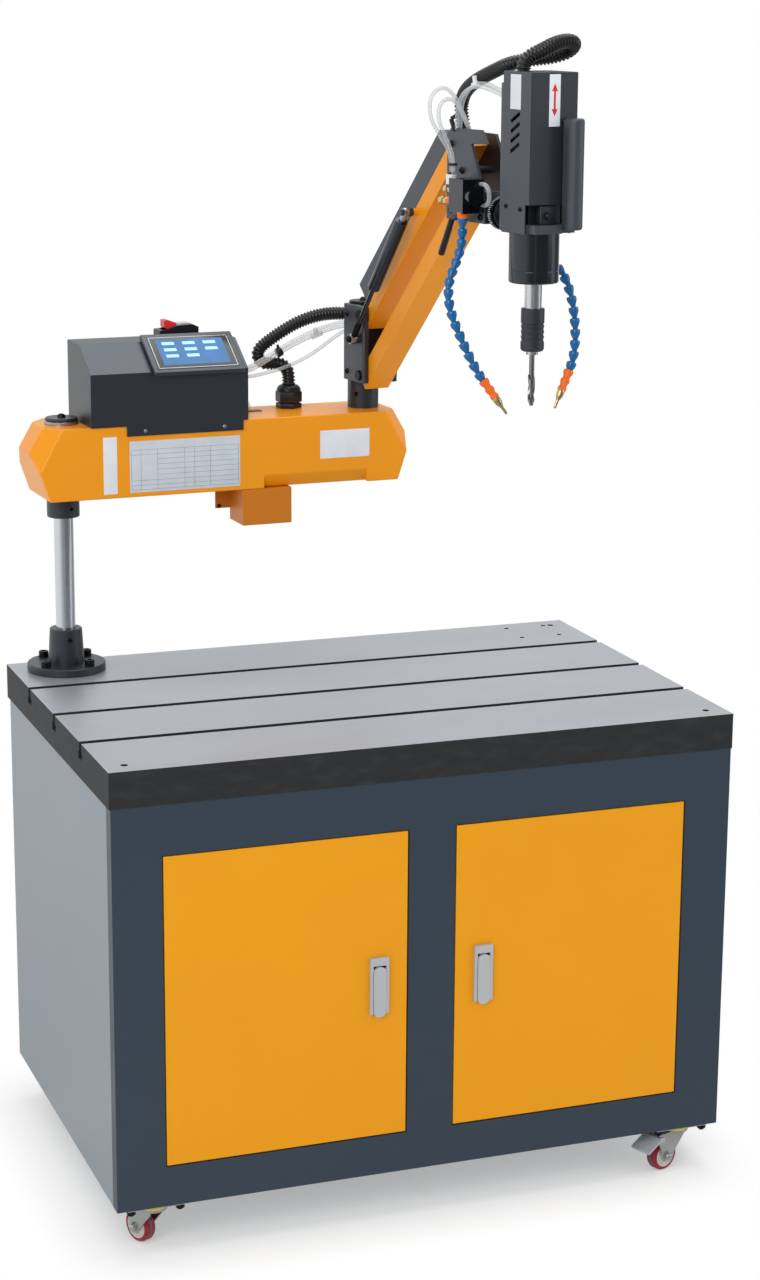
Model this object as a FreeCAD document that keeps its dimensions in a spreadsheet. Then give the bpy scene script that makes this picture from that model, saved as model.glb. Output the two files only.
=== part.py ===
"""Arm tapping machine on its T-slot table, in millimetres.

The frame stands on the floor under the middle of the table top: +X along the table, +Y to its back,
+Z up. The first arm swings about the column, the second arm about the far end of the first, and each
has a frame of its own, in which its pieces are drawn with heights counted from the table top.
"""

import FreeCAD, Part
import math
import os
import re
from collections import namedtuple

import Sketcher

Vector = FreeCAD.Vector
Rotation = FreeCAD.Rotation
Placement = FreeCAD.Placement
Circle = namedtuple("Circle", "x y r")

DIMS = {
    # table, cabinet and casters
    "table_len": 1000, "table_dep": 667, "slab": 56, "slot_neck": 14, "slot_foot": 24,
    "neck_depth": 15, "slot_depth": 26, "corner_inset": 32, "hole_rad": 5.5,
    "spare_x": 419.6, "spare_y": 268.2, "spare_half": 35, "spare_rad": 4.25,
    "floor_gap": 76, "cab_height": 629, "cab_half": 498, "cab_back": 323.5, "sheet_wall": 2,
    "frame_depth": 25, "door_in": 39.5, "door_out": 420, "door_low": 141, "door_high": 626,
    "door_gap": 2, "door_depth": 20, "door_inset": 1, "hinge_inset": 4, "hinge_rad": 2,
    "lock_x": 85, "lock_z": 386, "lock_wide": 30, "lock_tall": 90, "lock_thick": 6,
    "lever_rad": 10, "lever_long": 81, "lever_pivot": 411,
    "wheel_rad": 26, "wheel_half": 10, "trail": 26, "caster_x": 437, "caster_front": 301.5,
    "caster_back": 285, "axle_rad": 4, "king_rad": 5, "ring_rad": 25,
    "pedal_pin": 2.5, "pedal_along": 40, "pedal_drop": 18, "pedal_half": 16.5, "tread_half": 20,
    # column
    "column_x": -412.9, "column_y": 273.5, "shaft_rad": 16, "flange_rad": 64, "flange_thick": 13,
    "hub_foot": 29.6, "hub_head": 26.5, "hub_top": 70, "bolt_circle": 50, "bolt_rad": 5,
    "collar_low": 256, "collar_top": 290.5, "shaft_top": 404,
    # first arm, along u from the column, v across, heights from the table top
    "arm_yaw": 2.5, "arm_len": 525.2, "arm_half": 63.6, "arm_low": 291, "arm_high": 407.7,
    "ridge_high": 367.8, "end_top": 39.3, "end_ridge": 63.9, "end_low": 38.6,
    "corner_back": 16, "facet_top": 34, "facet_low": 338.5, "arm_wall": 5,
    "bevel_top": 313, "bevel_in": 14,
    "bearing_rad": 26, "bearing_tall": 18, "pivot_rad": 12, "pivot_ring": 22,
    "box_left": 30.4, "box_right": 296.4, "box_front": -66.2, "box_back": 61.8,
    "box_sill": 492.8, "box_roof": 534.6, "box_brow": -4.5, "box_wall": 2.5,
    "skirt_left": 90, "skirt_right": 288, "skirt_low": 391,
    "panel_left": 133, "panel_wide": 155, "panel_tall": 94, "panel_thick": 8.5, "panel_drop": 12,
    "switch_left": 174, "switch_right": 241, "switch_front": 18, "switch_back": 52,
    "rocker_u": 206, "rocker_lift": 14, "rocker_pin": 2,
    "drive_left": 60, "drive_right": 200, "drive_front": -30, "drive_back": 50, "drive_tall": 72,
    "gland_u": 404, "gland_v": 33, "gland_top": 446,
    "tray_left": 287, "tray_right": 372.5, "tray_low": 231, "tray_back": 2,
    # second arm, along s from its pivot, v across, heights from the table top
    "reach_turn": -82, "post_rad": 26, "post_top": 455.4, "post_turn": -34,
    "block_back": -10.6, "block_front": 61.7, "block_half": 32.5, "block_low": 455.9,
    "block_high": 582.1, "fork_half": 22.6, "fork_root": 20, "neck_rad": 8,
    "pin_s": 46.2, "pin_z": 467.8, "pin_pitch": 100, "pin_rad": 6, "fit_gap": 0.05,
    "link_len": 416.2, "link_rise": 45.1, "link_half": 21.9, "link_under": 18.7,
    "link_over": 12, "link_wall": 3, "link_end": 14.5, "link_boss": 9,
    "cover_start": 20, "cover_end": 394, "cover_low": 12.3, "cover_high": 48.4,
    "stud_s": 44.9, "stud_z": 529, "spring_v": -44, "spring_t": 254, "spring_q": 3,
    "spring_rad": 10.5, "rod_rad": 4, "spring_mouth": 117, "spring_tail": 18,
    # bracket and head, in the second arm's frame
    "plate_half": 27.5, "plate_thick": 5, "cross_back": 425, "cross_front": 442.5,
    "valve_back": 396, "valve_front": 438, "valve_out": 64, "valve_low": 764, "valve_high": 815,
    "far_valve": 420,
    "tilt_z": 764, "tilt_rad": 8, "dial_rad": 25, "dial_thick": 15, "hub_rad": 18,
    "spindle_s": 541.5, "spine_back": 502, "spine_front": 511, "head_front": 590,
    "vent_s": 546.5, "vent_z": 867.5, "vent_step": 14.5, "vent_long": 28, "vent_tall": 4.8,
    "vent_tilt": -28, "head_half": 40, "head_low": 743, "head_brow": 786.5, "head_high": 977, "head_wall": 2,
    "base_low": 745, "base_high": 758, "motor_half": 27.5, "gear_rad": 37.5, "gear_low": 669,
    "gear_seam": 687.5, "drive_rad": 7, "quill_rad": 13, "quill_top": 712, "quill_low": 566,
    "sleeve_rad": 17.75, "sleeve_low": 567, "sleeve_top": 631, "tap_rad": 4, "flute_rad": 5.4,
    "flute_top": 533.2, "tap_tip": 484, "grip_front": 619, "grip_in": 14, "grip_low": 750.4,
    "grip_high": 911.5,
    # hoses
    "conduit_rad": 11, "tube_rad": 3, "hose_rad": 7.5, "jet_rad": 2.5,
}

TOP = "(floor_gap + cab_height + slab)"
DOOR_FACE = "(door_inset - table_dep / 2)"
NODES = []

doc = FreeCAD.newDocument("arm_tapping_machine")
sheet = doc.addObject("Spreadsheet::Sheet", "dims")
for row, (alias, value) in enumerate(DIMS.items(), 1):
    sheet.set(f"A{row}", alias)
    sheet.set(f"B{row}", str(value))
    sheet.setAlias(f"B{row}", alias)
doc.recompute()


# ---------------------------------------------------------------- formulas and frames

def worded(formula):
    """Write a formula over the sheet's aliases in the form that an expression takes."""
    return re.sub(r"[a-z_]+", lambda m: f"dims.{m[0]}" if m[0] in DIMS else m[0], str(formula))


def size(formula):
    """The value of a formula, in millimetres or degrees."""
    return float(sheet.evalExpression(worded(formula)))


def frame(at=(0, 0, 0), axis=(0, 0, 1), angle=0):
    """A placement at three formulas, turned about an axis by a formula in degrees."""
    return Placement(Vector(*map(size, at)), Rotation(Vector(*axis), size(angle)))


ALONG = {
    "X": Rotation(Vector(0, 1, 0), 90),
    "Y": Rotation(Vector(1, 0, 0), -90),
    "Z": Rotation(),
}
ROOT = frame()
COLUMN = frame(("column_x", "column_y", TOP))
ARM = frame(("column_x", "column_y", TOP), angle="arm_yaw")
ELBOW = ARM.multiply(frame(("arm_len", 0, 0)))
REACH = ELBOW.multiply(frame(angle="reach_turn - arm_yaw"))
LOWER = REACH.multiply(frame(("pin_s", 0, "pin_z"), (0, 1, 0), "-link_rise"))
UPPER = REACH.multiply(frame(("pin_s", 0, "pin_z + pin_pitch"), (0, 1, 0), "-link_rise"))


# ---------------------------------------------------------------- building helpers

def moved(thing, at):
    """Tie a primitive's place to three formulas."""
    for axis, formula in zip("xyz", at):
        thing.setExpression(f"Placement.Base.{axis}", worded(formula))
    return thing


def box(low, high, name="Box"):
    """A block between two corners."""
    thing = doc.addObject("Part::Box", name)
    for side, start, end in zip(("Length", "Width", "Height"), low, high):
        thing.setExpression(side, worded(f"({end}) - ({start})"))
    return moved(thing, low)


def rod(radius, at, length, axis="Z", name="Rod"):
    """A round bar that starts at a point and runs along an axis."""
    thing = doc.addObject("Part::Cylinder", name)
    thing.Placement = Placement(Vector(), ALONG[axis])
    thing.setExpression("Radius", worded(radius))
    thing.setExpression("Height", worded(length))
    return moved(thing, at)


def fuse(parts, name="Fuse"):
    """One solid made of several that meet."""
    thing = doc.addObject("Part::MultiFuse", name)
    thing.Shapes = parts
    return thing


def cut(base, tools, name="Cut"):
    """A base less its tools, checked to have lost some material."""
    thing = doc.addObject("Part::Cut", name)
    thing.Base = base
    thing.Tool = tools[0] if len(tools) == 1 else fuse(tools, "Tools")
    doc.recompute()
    if thing.Shape.Volume >= base.Shape.Volume - 1e-3:
        raise RuntimeError(f"{name} cuts nothing")
    return thing


def group(parts, name="Group"):
    """Separate solids kept in one node."""
    thing = doc.addObject("Part::Compound", name)
    thing.Links = parts
    return thing


def node(thing, label, place=ROOT):
    """Name a finished sub-part and set it in its frame."""
    if place != ROOT:
        thing = thing if thing.TypeId == "PartDesign::Body" else group([thing], "Set")
        thing.Placement = place
    thing.Label = label
    NODES.append(thing)
    return thing


def plane_of(body, role):
    """One of a body's own origin planes."""
    return next(part for part in body.Origin.OriginFeatures if part.Role == role)


def draw(body, plane, loops, lift):
    """A sketch of closed loops on a lifted origin plane, with every corner tied to the sheet."""
    sketch = body.newObject("Sketcher::SketchObject", "Sketch")
    sketch.AttachmentSupport = [(plane_of(body, plane + "_Plane"), "")]
    sketch.MapMode = "FlatFace"
    sketch.setExpression("AttachmentOffset.Base.z", worded(lift))

    def tie(kind, geometry, point, formula):
        if kind == "Radius":
            number = sketch.addConstraint(Sketcher.Constraint(kind, geometry, size(formula)))
        else:
            start = Sketcher.Constraint(kind, -1, 1, geometry, point, size(formula))
            number = sketch.addConstraint(start)
        if re.search("[a-z]", str(formula)):
            sketch.setExpression(f"Constraints[{number}]", worded(formula))

    for loop in loops:
        first = sketch.GeometryCount
        if isinstance(loop, Circle):
            middle = Vector(size(loop.x), size(loop.y), 0)
            sketch.addGeometry(Part.Circle(middle, Vector(0, 0, 1), size(loop.r)), False)
            tie("DistanceX", first, 3, loop.x)
            tie("DistanceY", first, 3, loop.y)
            tie("Radius", first, None, loop.r)
            continue
        corners = [Vector(size(x), size(y), 0) for x, y in loop]
        for start, end in zip(corners, corners[1:] + corners[:1]):
            sketch.addGeometry(Part.LineSegment(start, end), False)
        for step, (x, y) in enumerate(loop):
            following = first + (step + 1) % len(loop)
            sketch.addConstraint(Sketcher.Constraint("Coincident", first + step, 2, following, 1))
            tie("DistanceX", first + step, 1, x)
            tie("DistanceY", first + step, 1, y)
    return sketch


def span(plane, low, high):
    """Where a sketch plane sits and how far it is drawn out, for a span between two levels."""
    return (f"-({high})" if plane == "XZ" else low), f"({high}) - ({low})"


def prism(plane, loops, low, high, name="Prism"):
    """A body drawn on an origin plane and padded between two levels of its third axis."""
    body = doc.addObject("PartDesign::Body", name)
    lift, length = span(plane, low, high)
    pad = body.newObject("PartDesign::Pad", "Pad")
    pad.Profile = draw(body, plane, loops, lift)
    pad.setExpression("Length", worded(length))
    body.Tip = pad
    doc.recompute()
    return body


def pocket(body, plane, loops, low, high):
    """Cut loops out of a body between two levels, checked to have removed material."""
    before = body.Shape.Volume
    lift, length = span(plane, low, high)
    hollow = body.newObject("PartDesign::Pocket", "Pocket")
    hollow.Profile = draw(body, plane, loops, lift)
    hollow.Reversed = True
    hollow.setExpression("Length", worded(length))
    body.Tip = hollow
    doc.recompute()
    if body.Shape.Volume >= before - 1e-3:
        raise RuntimeError(f"a pocket in {body.Name} cuts nothing")
    return body


def turned(profile, name="Turned"):
    """A body turned about Z from a profile of radius and height."""
    body = doc.addObject("PartDesign::Body", name)
    sketch = draw(body, "XZ", [profile], 0)
    spin = body.newObject("PartDesign::Revolution", "Revolution")
    spin.Profile = sketch
    spin.ReferenceAxis = (sketch, ["V_Axis"])
    spin.Angle = 360
    body.Tip = spin
    doc.recompute()
    return body


def rectangle(x_low, y_low, x_high, y_high):
    """The corners of an upright rectangle."""
    return [(x_low, y_low), (x_high, y_low), (x_high, y_high), (x_low, y_high)]


def tube(route, radius, name):
    """A round tube along straight runs joined by tangent arcs as large as the runs allow."""
    points = [Vector(*point) for point in route]
    edges = []
    start = points[0]
    radii = []
    for before, corner, after in zip(points, points[1:], points[2:]):
        back = (before - corner).normalize()
        ahead = (after - corner).normalize()
        half_turn = (math.pi - back.getAngle(ahead)) / 2
        bite = 0.45 * min((before - corner).Length, (after - corner).Length)
        radii.append(bite / math.tan(half_turn))
        entry = corner + back * bite
        leave = corner + ahead * bite
        middle_line = (back + ahead).normalize()
        centre = corner + middle_line * (radii[-1] / math.cos(half_turn))
        crown = centre - middle_line * radii[-1]
        edges.append(Part.LineSegment(start, entry).toShape())
        edges.append(Part.Arc(entry, crown, leave).toShape())
        start = leave
    edges.append(Part.LineSegment(start, points[-1]).toShape())
    wire = Part.Wire(edges)
    ring = Part.Wire([Part.makeCircle(radius, points[0], points[1] - points[0])])
    shape = wire.makePipeShell([ring], True, True)
    wanted = math.pi * radius**2 * wire.Length
    smallest = min(radii)
    print(f"{name}: length {wire.Length:.0f}, smallest bend {smallest:.1f},"
          f" volume {shape.Volume / wanted:.4f} of section times length")
    return shape


def hose(route, radius, label, place, tips=()):
    """A hose as a plain tube, with solids of its own at its end."""
    thing = doc.addObject("Part::Feature", "Hose")
    shape = tube(route, radius, label)
    for tip in tips:
        shape = shape.fuse(tip)
    thing.Shape = shape.removeSplitter() if tips else shape
    thing.Placement = place
    thing.Label = label
    NODES.append(thing)


# ---------------------------------------------------------------- table and cabinet

def t_slot(middle):
    """The outline of a T-slot seen along the table, open at the top face."""
    neck, foot = "slot_neck / 2", "slot_foot / 2"
    shoulder, floor, mouth = "slab - neck_depth", "slab - slot_depth", "slab + 1"
    left = [(neck, mouth), (neck, shoulder), (foot, shoulder), (foot, floor)]
    return ([(f"{middle} - {x}", z) for x, z in left]
            + [(f"{middle} + {x}", z) for x, z in reversed(left)])


def bolt_spots():
    """The four bolt places on the column flange, from the column's axis."""
    return [("bolt_circle * %.6f" % math.cos(math.radians(angle)),
             "bolt_circle * %.6f" % math.sin(math.radians(angle))) for angle in (35, 125, 215, 305)]


def table_top():
    """The ground top with three T-slots, corner holes, a spare pattern and column bolt holes."""
    half_x, half_y = "table_len / 2", "table_dep / 2"
    outline = rectangle(f"-{half_x}", f"-{half_y}", half_x, half_y)
    top = prism("XY", [outline], 0, "slab", "TableTop")
    slots = [t_slot(f"{place} * table_dep / 4") for place in (-1, 0, 1)]
    pocket(top, "YZ", slots, f"-{half_x} - 1", f"{half_x} + 1")
    holes = []
    for across in (-1, 1):
        for back in (-1, 1):
            holes.append(Circle(f"{across} * ({half_x} - corner_inset)",
                                f"{back} * ({half_y} - corner_inset)", "hole_rad"))
            holes.append(Circle(f"spare_x + {across} * spare_half",
                                f"spare_y + {back} * spare_half", "spare_rad"))
    pocket(top, "XY", holes, -1, "slab + 1")
    seats = [Circle(f"column_x + {x}", f"column_y + {y}", "bolt_rad") for x, y in bolt_spots()]
    pocket(top, "XY", seats, "slab - 30", "slab + 1")
    node(top, "table_top", frame((0, 0, "floor_gap + cab_height")))


def cabinet():
    """The sheet shell, the front frame with its two openings, and the doors' hinge pins."""
    low, high = "floor_gap", "floor_gap + cab_height"
    face, rear = "-table_dep / 2", "frame_depth - table_dep / 2"
    inner = "cab_half - sheet_wall"
    sides = [box((f"{side} * (cab_half - sheet_wall / 2) - sheet_wall / 2", rear, low),
                 (f"{side} * (cab_half - sheet_wall / 2) + sheet_wall / 2", "cab_back", high))
             for side in (-1, 1)]
    back = box((f"-({inner})", "cab_back - sheet_wall", low), (inner, "cab_back", high))
    floor = box((f"-({inner})", rear, low), (inner, "cab_back - sheet_wall", f"{low} + 3"))
    node(group(sides + [back, floor], "CabinetShell"), "cabinet_shell")

    inside, outside = "door_in - door_gap", "door_out + door_gap"
    sill, head = "door_low - door_gap", "door_high + door_gap"
    openings = [rectangle(f"-({outside})", sill, f"-({inside})", head),
                rectangle(inside, sill, outside, head)]
    blank = prism("XZ", [rectangle("-cab_half", low, "cab_half", high)] + openings, face, rear)
    pins = [rod("hinge_rad", (f"{side} * (door_out - hinge_inset)", f"{DOOR_FACE} + hinge_inset",
                              start), 24)
            for side in (-1, 1) for start in ("door_low - 12", "door_high - 12")]
    node(cut(blank, pins, "FrontFrame"), "cabinet_front_frame")
    node(group(pins, "HingePins"), "door_hinge_pins")


def door(side, name):
    """A folded door pan with its hinge blocks and the window for the lock."""
    wall = "sheet_wall"
    back = f"{DOOR_FACE} + door_depth"
    sign = "" if side > 0 else "-"

    def across(near, far):
        return (near, far) if side > 0 else (f"-({far})", f"-({near})")

    x_low, x_high = across("door_in", "door_out")
    skin = box((x_low, DOOR_FACE, "door_low"), (x_high, back, "door_high"))
    x_low, x_high = across(f"door_in + {wall}", f"door_out - {wall}")
    hollow = box((x_low, f"{DOOR_FACE} + {wall}", f"door_low + {wall}"),
                 (x_high, f"{back} + 1", f"door_high - {wall}"))
    pan = cut(skin, [hollow], "Pan")
    x_low, x_high = across("door_out - 14", "door_out - 1")
    blocks = [box((x_low, f"{DOOR_FACE} + 1", f"{start} + 1"),
                  (x_high, f"{DOOR_FACE} + 14", f"{start} + 19"))
              for start in ("door_low", "door_high - 20")]
    pins = [rod("hinge_rad + fit_gap", (f"{sign}(door_out - hinge_inset)",
                                        f"{DOOR_FACE} + hinge_inset", start), 14)
            for start in ("door_low - 1", "door_high - 13")]
    x_low, x_high = across("lock_x - lever_rad - 0.6", "lock_x + lever_rad + 0.6")
    window = box((x_low, f"{DOOR_FACE} - 1", "lever_pivot - 13"),
                 (x_high, f"{DOOR_FACE} + {wall} + 1", "lever_pivot + 7.5"))
    node(cut(fuse([pan] + blocks), pins + [window], "Door"), f"door_{name}")


def lock(side, name):
    """A lock plate with its channel, and the lever that swings out of it with its cam."""
    middle = f"{side} * lock_x"
    face, back = f"{DOOR_FACE} - lock_thick", DOOR_FACE
    low, high = "lock_z - lock_tall / 2", "lock_z + lock_tall / 2"
    room = "(lever_rad + 0.6)"
    bend = "lever_pivot - 4"
    plate = box((f"{middle} - lock_wide / 2", face, low), (f"{middle} + lock_wide / 2", back, high))
    groove = box((f"{middle} - {room}", f"{face} - 1", f"{low} - 1"),
                 (f"{middle} + {room}", f"{back} - 1.5", bend))
    round_end = rod(room, (middle, f"{face} - 1", bend), "lock_thick - 0.5", "Y")
    window = box((f"{middle} - {room}", face, "lever_pivot - 13"),
                 (f"{middle} + {room}", f"{back} + 1", "lever_pivot + 7.5"))
    pin_y = f"{face} + 3"
    bore = rod("2.5 + fit_gap", (f"{middle} - 13.5", pin_y, "lever_pivot"), 27, "X")
    node(cut(plate, [groove, round_end, window, bore], "LockPlate"), f"lock_plate_{name}")

    foot = "lever_pivot - 4 - lever_long + 2 * lever_rad"
    front, rear = f"{face} - 1.5", f"{face} + 3.5"
    lever = [box((f"{middle} - lever_rad", front, foot), (f"{middle} + lever_rad", rear, bend)),
             rod("lever_rad", (middle, front, bend), 5, "Y"),
             rod("lever_rad", (middle, front, foot), 5, "Y"),
             rod("2.5", (f"{middle} - 13", pin_y, "lever_pivot"), 26, "X"),
             box((f"{middle} - 4", f"{face} + 2", "lever_pivot - 4"),
                 (f"{middle} + 4", f"{back} + 14", "lever_pivot + 2"))]
    node(fuse(lever, "LockLever"), f"lock_lever_{name}")


# ---------------------------------------------------------------- casters

CASTERS = {
    "front_left": (-1, "-caster_front", 115),
    "front_right": (1, "-caster_front", 200),
    "rear_left": (-1, "caster_back", 285),
    "rear_right": (1, "caster_back", 240),
}


def caster_plates():
    """The four top plates, each with its bearing ring and king pin."""
    plates = []
    for side, y, _ in CASTERS.values():
        x = f"{side} * caster_x"
        plates.append(fuse([
            box((f"{x} - 44", f"{y} - 30", "floor_gap - 2.5"),
                (f"{x} + 44", f"{y} + 30", "floor_gap")),
            rod("ring_rad", (x, y, "floor_gap - 9.5"), 7),
            rod("king_rad", (x, y, "floor_gap - 15"), 8),
            rod("king_rad + 4", (x, y, "floor_gap - 18"), 4)]))
    node(group(plates, "CasterPlates"), "caster_plates")


def caster(name, side, y, heading):
    """A swivel fork with its axle bolt, and the wheel in it, trailing along local +X."""
    stand = frame((f"{side} * caster_x", y, 0), angle=heading)
    crown_low, crown_top = "floor_gap - 13", "floor_gap - 10"
    leg = [(-10, crown_top), (34, crown_top), (36, "floor_gap - 24"), ("trail + 9", 22),
           ("trail + 5", 17), ("trail - 5", 17), ("trail - 9", 22), (-12, "floor_gap - 20")]
    inner, outer = "wheel_half + 1.5", "wheel_half + 4"
    braked = name == "front_right"
    if braked:
        leg[1:3] = [(44.5, crown_top), (44.5, "floor_gap - 26")]
    parts = [rod("ring_rad - 1", (0, 0, crown_low), 3),
             box((0, f"-({outer})", crown_low), (34, outer, crown_top)),
             prism("XZ", [leg], inner, outer),
             prism("XZ", [leg], f"-({outer})", f"-({inner})"),
             rod("axle_rad", ("trail", "-wheel_half - 8", "wheel_rad"), "2 * wheel_half + 16", "Y"),
             rod(7, ("trail", outer, "wheel_rad"), 4, "Y"),
             rod(7, ("trail", "-wheel_half - 8", "wheel_rad"), 4, "Y")]
    bores = [rod("king_rad + fit_gap", (0, 0, f"{crown_low} - 1"), 5)]
    if braked:
        pin_at = ("pedal_along", "-wheel_half - 5", "floor_gap - pedal_drop")
        bores.append(rod("pedal_pin + fit_gap", pin_at, "2 * wheel_half + 10", "Y"))
    node(cut(fuse(parts), bores, "Fork"), f"caster_fork_{name}", stand)

    hub = "wheel_half + 1"
    outline = [("axle_rad + fit_gap", f"-({hub})"), (9, f"-({hub})"), (9, "-wheel_half + 2"),
               (17, "-wheel_half + 2"), (18, "-wheel_half + 0.5"), ("wheel_rad - 3", "-wheel_half"),
               ("wheel_rad", "-wheel_half + 3.5")]
    mirrored = [(r, f"-({z})") for r, z in reversed(outline)]
    wheel = turned(outline + mirrored, "Wheel")
    laid = stand.multiply(frame(("trail", 0, "wheel_rad"), (1, 0, 0), -90))
    node(wheel, f"caster_wheel_{name}", laid)
    if braked:
        brake_pedal(stand)


def brake_pedal(stand):
    """The pedal over a wheel: a sloping tread plate, two cheeks, a pin and a shoe."""
    tread = [(46.5, 58.5), (46.5, 62), (75, 46), (74, 43)]
    cheek = [(36, 54), (36, 61), (46, 62), (64, 52), (60, 48), (44, 54)]
    shoe = [(46, 60), (53, 57), (51, 51), (46, 53)]
    parts = [prism("XZ", [tread], "-tread_half", "tread_half"),
             prism("XZ", [cheek], "pedal_half - sheet_wall", "pedal_half"),
             prism("XZ", [cheek], "-pedal_half", "sheet_wall - pedal_half"),
             rod("pedal_pin", ("pedal_along", "-pedal_half", "floor_gap - pedal_drop"),
                 "2 * pedal_half", "Y"),
             prism("XZ", [shoe], "1 - wheel_half", "wheel_half - 1")]
    node(fuse(parts, "Pedal"), "brake_pedal", stand)


# ---------------------------------------------------------------- column

def column():
    """The flange with its hub and bolts, the chromed shaft, and the clamp collar."""
    hub = turned([("shaft_rad", 0), ("flange_rad - 1", 0), ("flange_rad", 1),
                  ("flange_rad", "flange_thick - 1.5"), ("flange_rad - 1.5", "flange_thick"),
                  ("hub_foot", "flange_thick"), ("hub_head", "hub_top - 1.5"),
                  ("hub_head - 1.5", "hub_top"), ("shaft_rad", "hub_top")], "Flange")
    holes = [Circle(x, y, "bolt_rad + 0.5") for x, y in bolt_spots()]
    pocket(hub, "XY", holes, -1, "flange_thick + 1")
    pocket(hub, "XZ", [Circle(0, "hub_top - 16", 3.5)], "-hub_foot - 1", "-shaft_rad")
    node(hub, "column_flange", COLUMN)

    bolts = []
    for x, y in bolt_spots():
        bolt = turned([(0, -29), ("bolt_rad", -29), ("bolt_rad", "flange_thick"),
                       (8, "flange_thick"), (8, "flange_thick + 9"), (7.3, "flange_thick + 10"),
                       (4, "flange_thick + 10"), (4, "flange_thick + 5"), (0, "flange_thick + 5")])
        bolts.append(moved(bolt, (x, y, 0)))
    node(group(bolts, "ColumnBolts"), "column_bolts", COLUMN)

    node(turned([(0, 0), ("shaft_rad", 0), ("shaft_rad", "shaft_top - 1.5"),
                 ("shaft_rad - 1.5", "shaft_top"), (0, "shaft_top")]), "column_shaft", COLUMN)

    collar = turned([("shaft_rad", "collar_low"), ("bearing_rad - 0.5", "collar_low"),
                     ("bearing_rad + 0.5", "collar_low + 1"),
                     ("bearing_rad + 0.5", "collar_top - 1"), ("bearing_rad - 0.5", "collar_top"),
                     ("shaft_rad", "collar_top")])
    pocket(collar, "XZ", [Circle(8, "collar_low + 15", 3)], "-bearing_rad - 2", "-shaft_rad")
    node(collar, "column_collar", COLUMN)


# ---------------------------------------------------------------- first arm

def facet_cutter(end, side):
    """A block whose inner face is the facet that takes off one upper corner of the arm."""
    def spot(out, across, height):
        along = -size(out) if end < 0 else size(f"arm_len + {out}")
        return Vector(along, side * size(across), size(height))

    fall = size("(end_low - end_ridge) * (ridge_high - facet_low) / (ridge_high - arm_low)")
    top_end = spot("end_top", "facet_top", "arm_high")
    top_side = spot("corner_back", "arm_half", "arm_high")
    low_side = spot(f"end_ridge + {fall}", "arm_half", "facet_low")
    normal = (top_side - top_end).cross(low_side - top_end)
    outward = Vector(end, side, 0)
    normal = normal if normal.dot(outward) > 0 else -normal
    reach = 150
    cutter = doc.addObject("Part::Box", "Facet")
    cutter.Length = cutter.Width = cutter.Height = reach
    turn = Rotation(Vector(0, 0, 1), normal)
    cutter.Placement = Placement(top_end - turn.multVec(Vector(reach / 2, reach / 2, 0)), turn)
    return cutter


def arm_housing():
    """The faceted casting, hollow between its ends, bored for the bearings of both axes."""
    outline = [("-end_top", "arm_high"), ("arm_len + end_top", "arm_high"),
               ("arm_len + end_ridge", "ridge_high"), ("arm_len + end_low", "arm_low"),
               ("-end_low", "arm_low"), ("-end_ridge", "ridge_high")]
    blank = prism("XZ", [outline], "-arm_half", "arm_half")
    room = [("arm_wall - arm_half", "arm_high - arm_wall"), ("arm_wall - arm_half", "bevel_top + 4"),
            ("bevel_in + 6.6 - arm_half", "arm_low - 1"), ("arm_half - bevel_in - 6.6", "arm_low - 1"),
            ("arm_half - arm_wall", "bevel_top + 4"), ("arm_half - arm_wall", "arm_high - arm_wall")]
    hollow = prism("YZ", [room], 45, "arm_len - 45")
    slope = "bevel_in / (bevel_top - arm_low)"
    bevel = [("-arm_half - 2", f"bevel_top + 2 / ({slope})"), ("-arm_half - 2", "arm_low - 1"),
             (f"bevel_in + {slope} - arm_half", "arm_low - 1")]
    far_bevel = [(f"-({v})", z) for v, z in reversed(bevel)]
    bevels = [prism("YZ", [loop], "arm_len - 200", "arm_len - 18") for loop in (bevel, far_bevel)]
    bores = []
    for along, seat, middle in ((0, "bearing_rad", "shaft_rad + 2"),
                                ("arm_len", "pivot_ring", "pivot_rad + 2")):
        bores += [rod(middle, (along, 0, "arm_low - 1"), "arm_high - arm_low + 2"),
                  rod(seat, (along, 0, "arm_low - 1"), "bearing_tall + 1"),
                  rod(seat, (along, 0, "arm_high - bearing_tall"), "bearing_tall + 1")]
    facets = [facet_cutter(end, side) for end in (-1, 1) for side in (-1, 1)]
    node(cut(blank, facets + bevels + bores + [hollow], "ArmHousing"), "arm_housing", ARM)


def arm_bearings():
    """Two rings on the column shaft and two on the elbow's pivot bolt."""
    rings = []
    for along, outer, inner in ((0, "bearing_rad", "shaft_rad"), ("arm_len", "pivot_ring", "pivot_rad")):
        for low in ("arm_low", "arm_high - bearing_tall"):
            ring = turned([(f"{inner} + fit_gap", low), (outer, low), (outer, f"{low} + bearing_tall"),
                           (f"{inner} + fit_gap", f"{low} + bearing_tall")])
            rings.append(moved(ring, (along, 0, 0)))
    node(group(rings, "Bearings"), "arm_bearings", ARM)


def arm_cap():
    """The ring, disc and dome bolt over the column's end."""
    rise = "arm_high + "
    node(turned([(0, rise + "0.2"), (24.5, rise + "0.2"), (24.5, rise + "5.5"), (27, rise + "6"),
                 (27, rise + "9"), (25.5, rise + "10.5"), (7, rise + "10.5"), (7, rise + "12"),
                 (4.5, rise + "15.5"), (0, rise + "16.5")]), "arm_cap", ARM)


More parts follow.
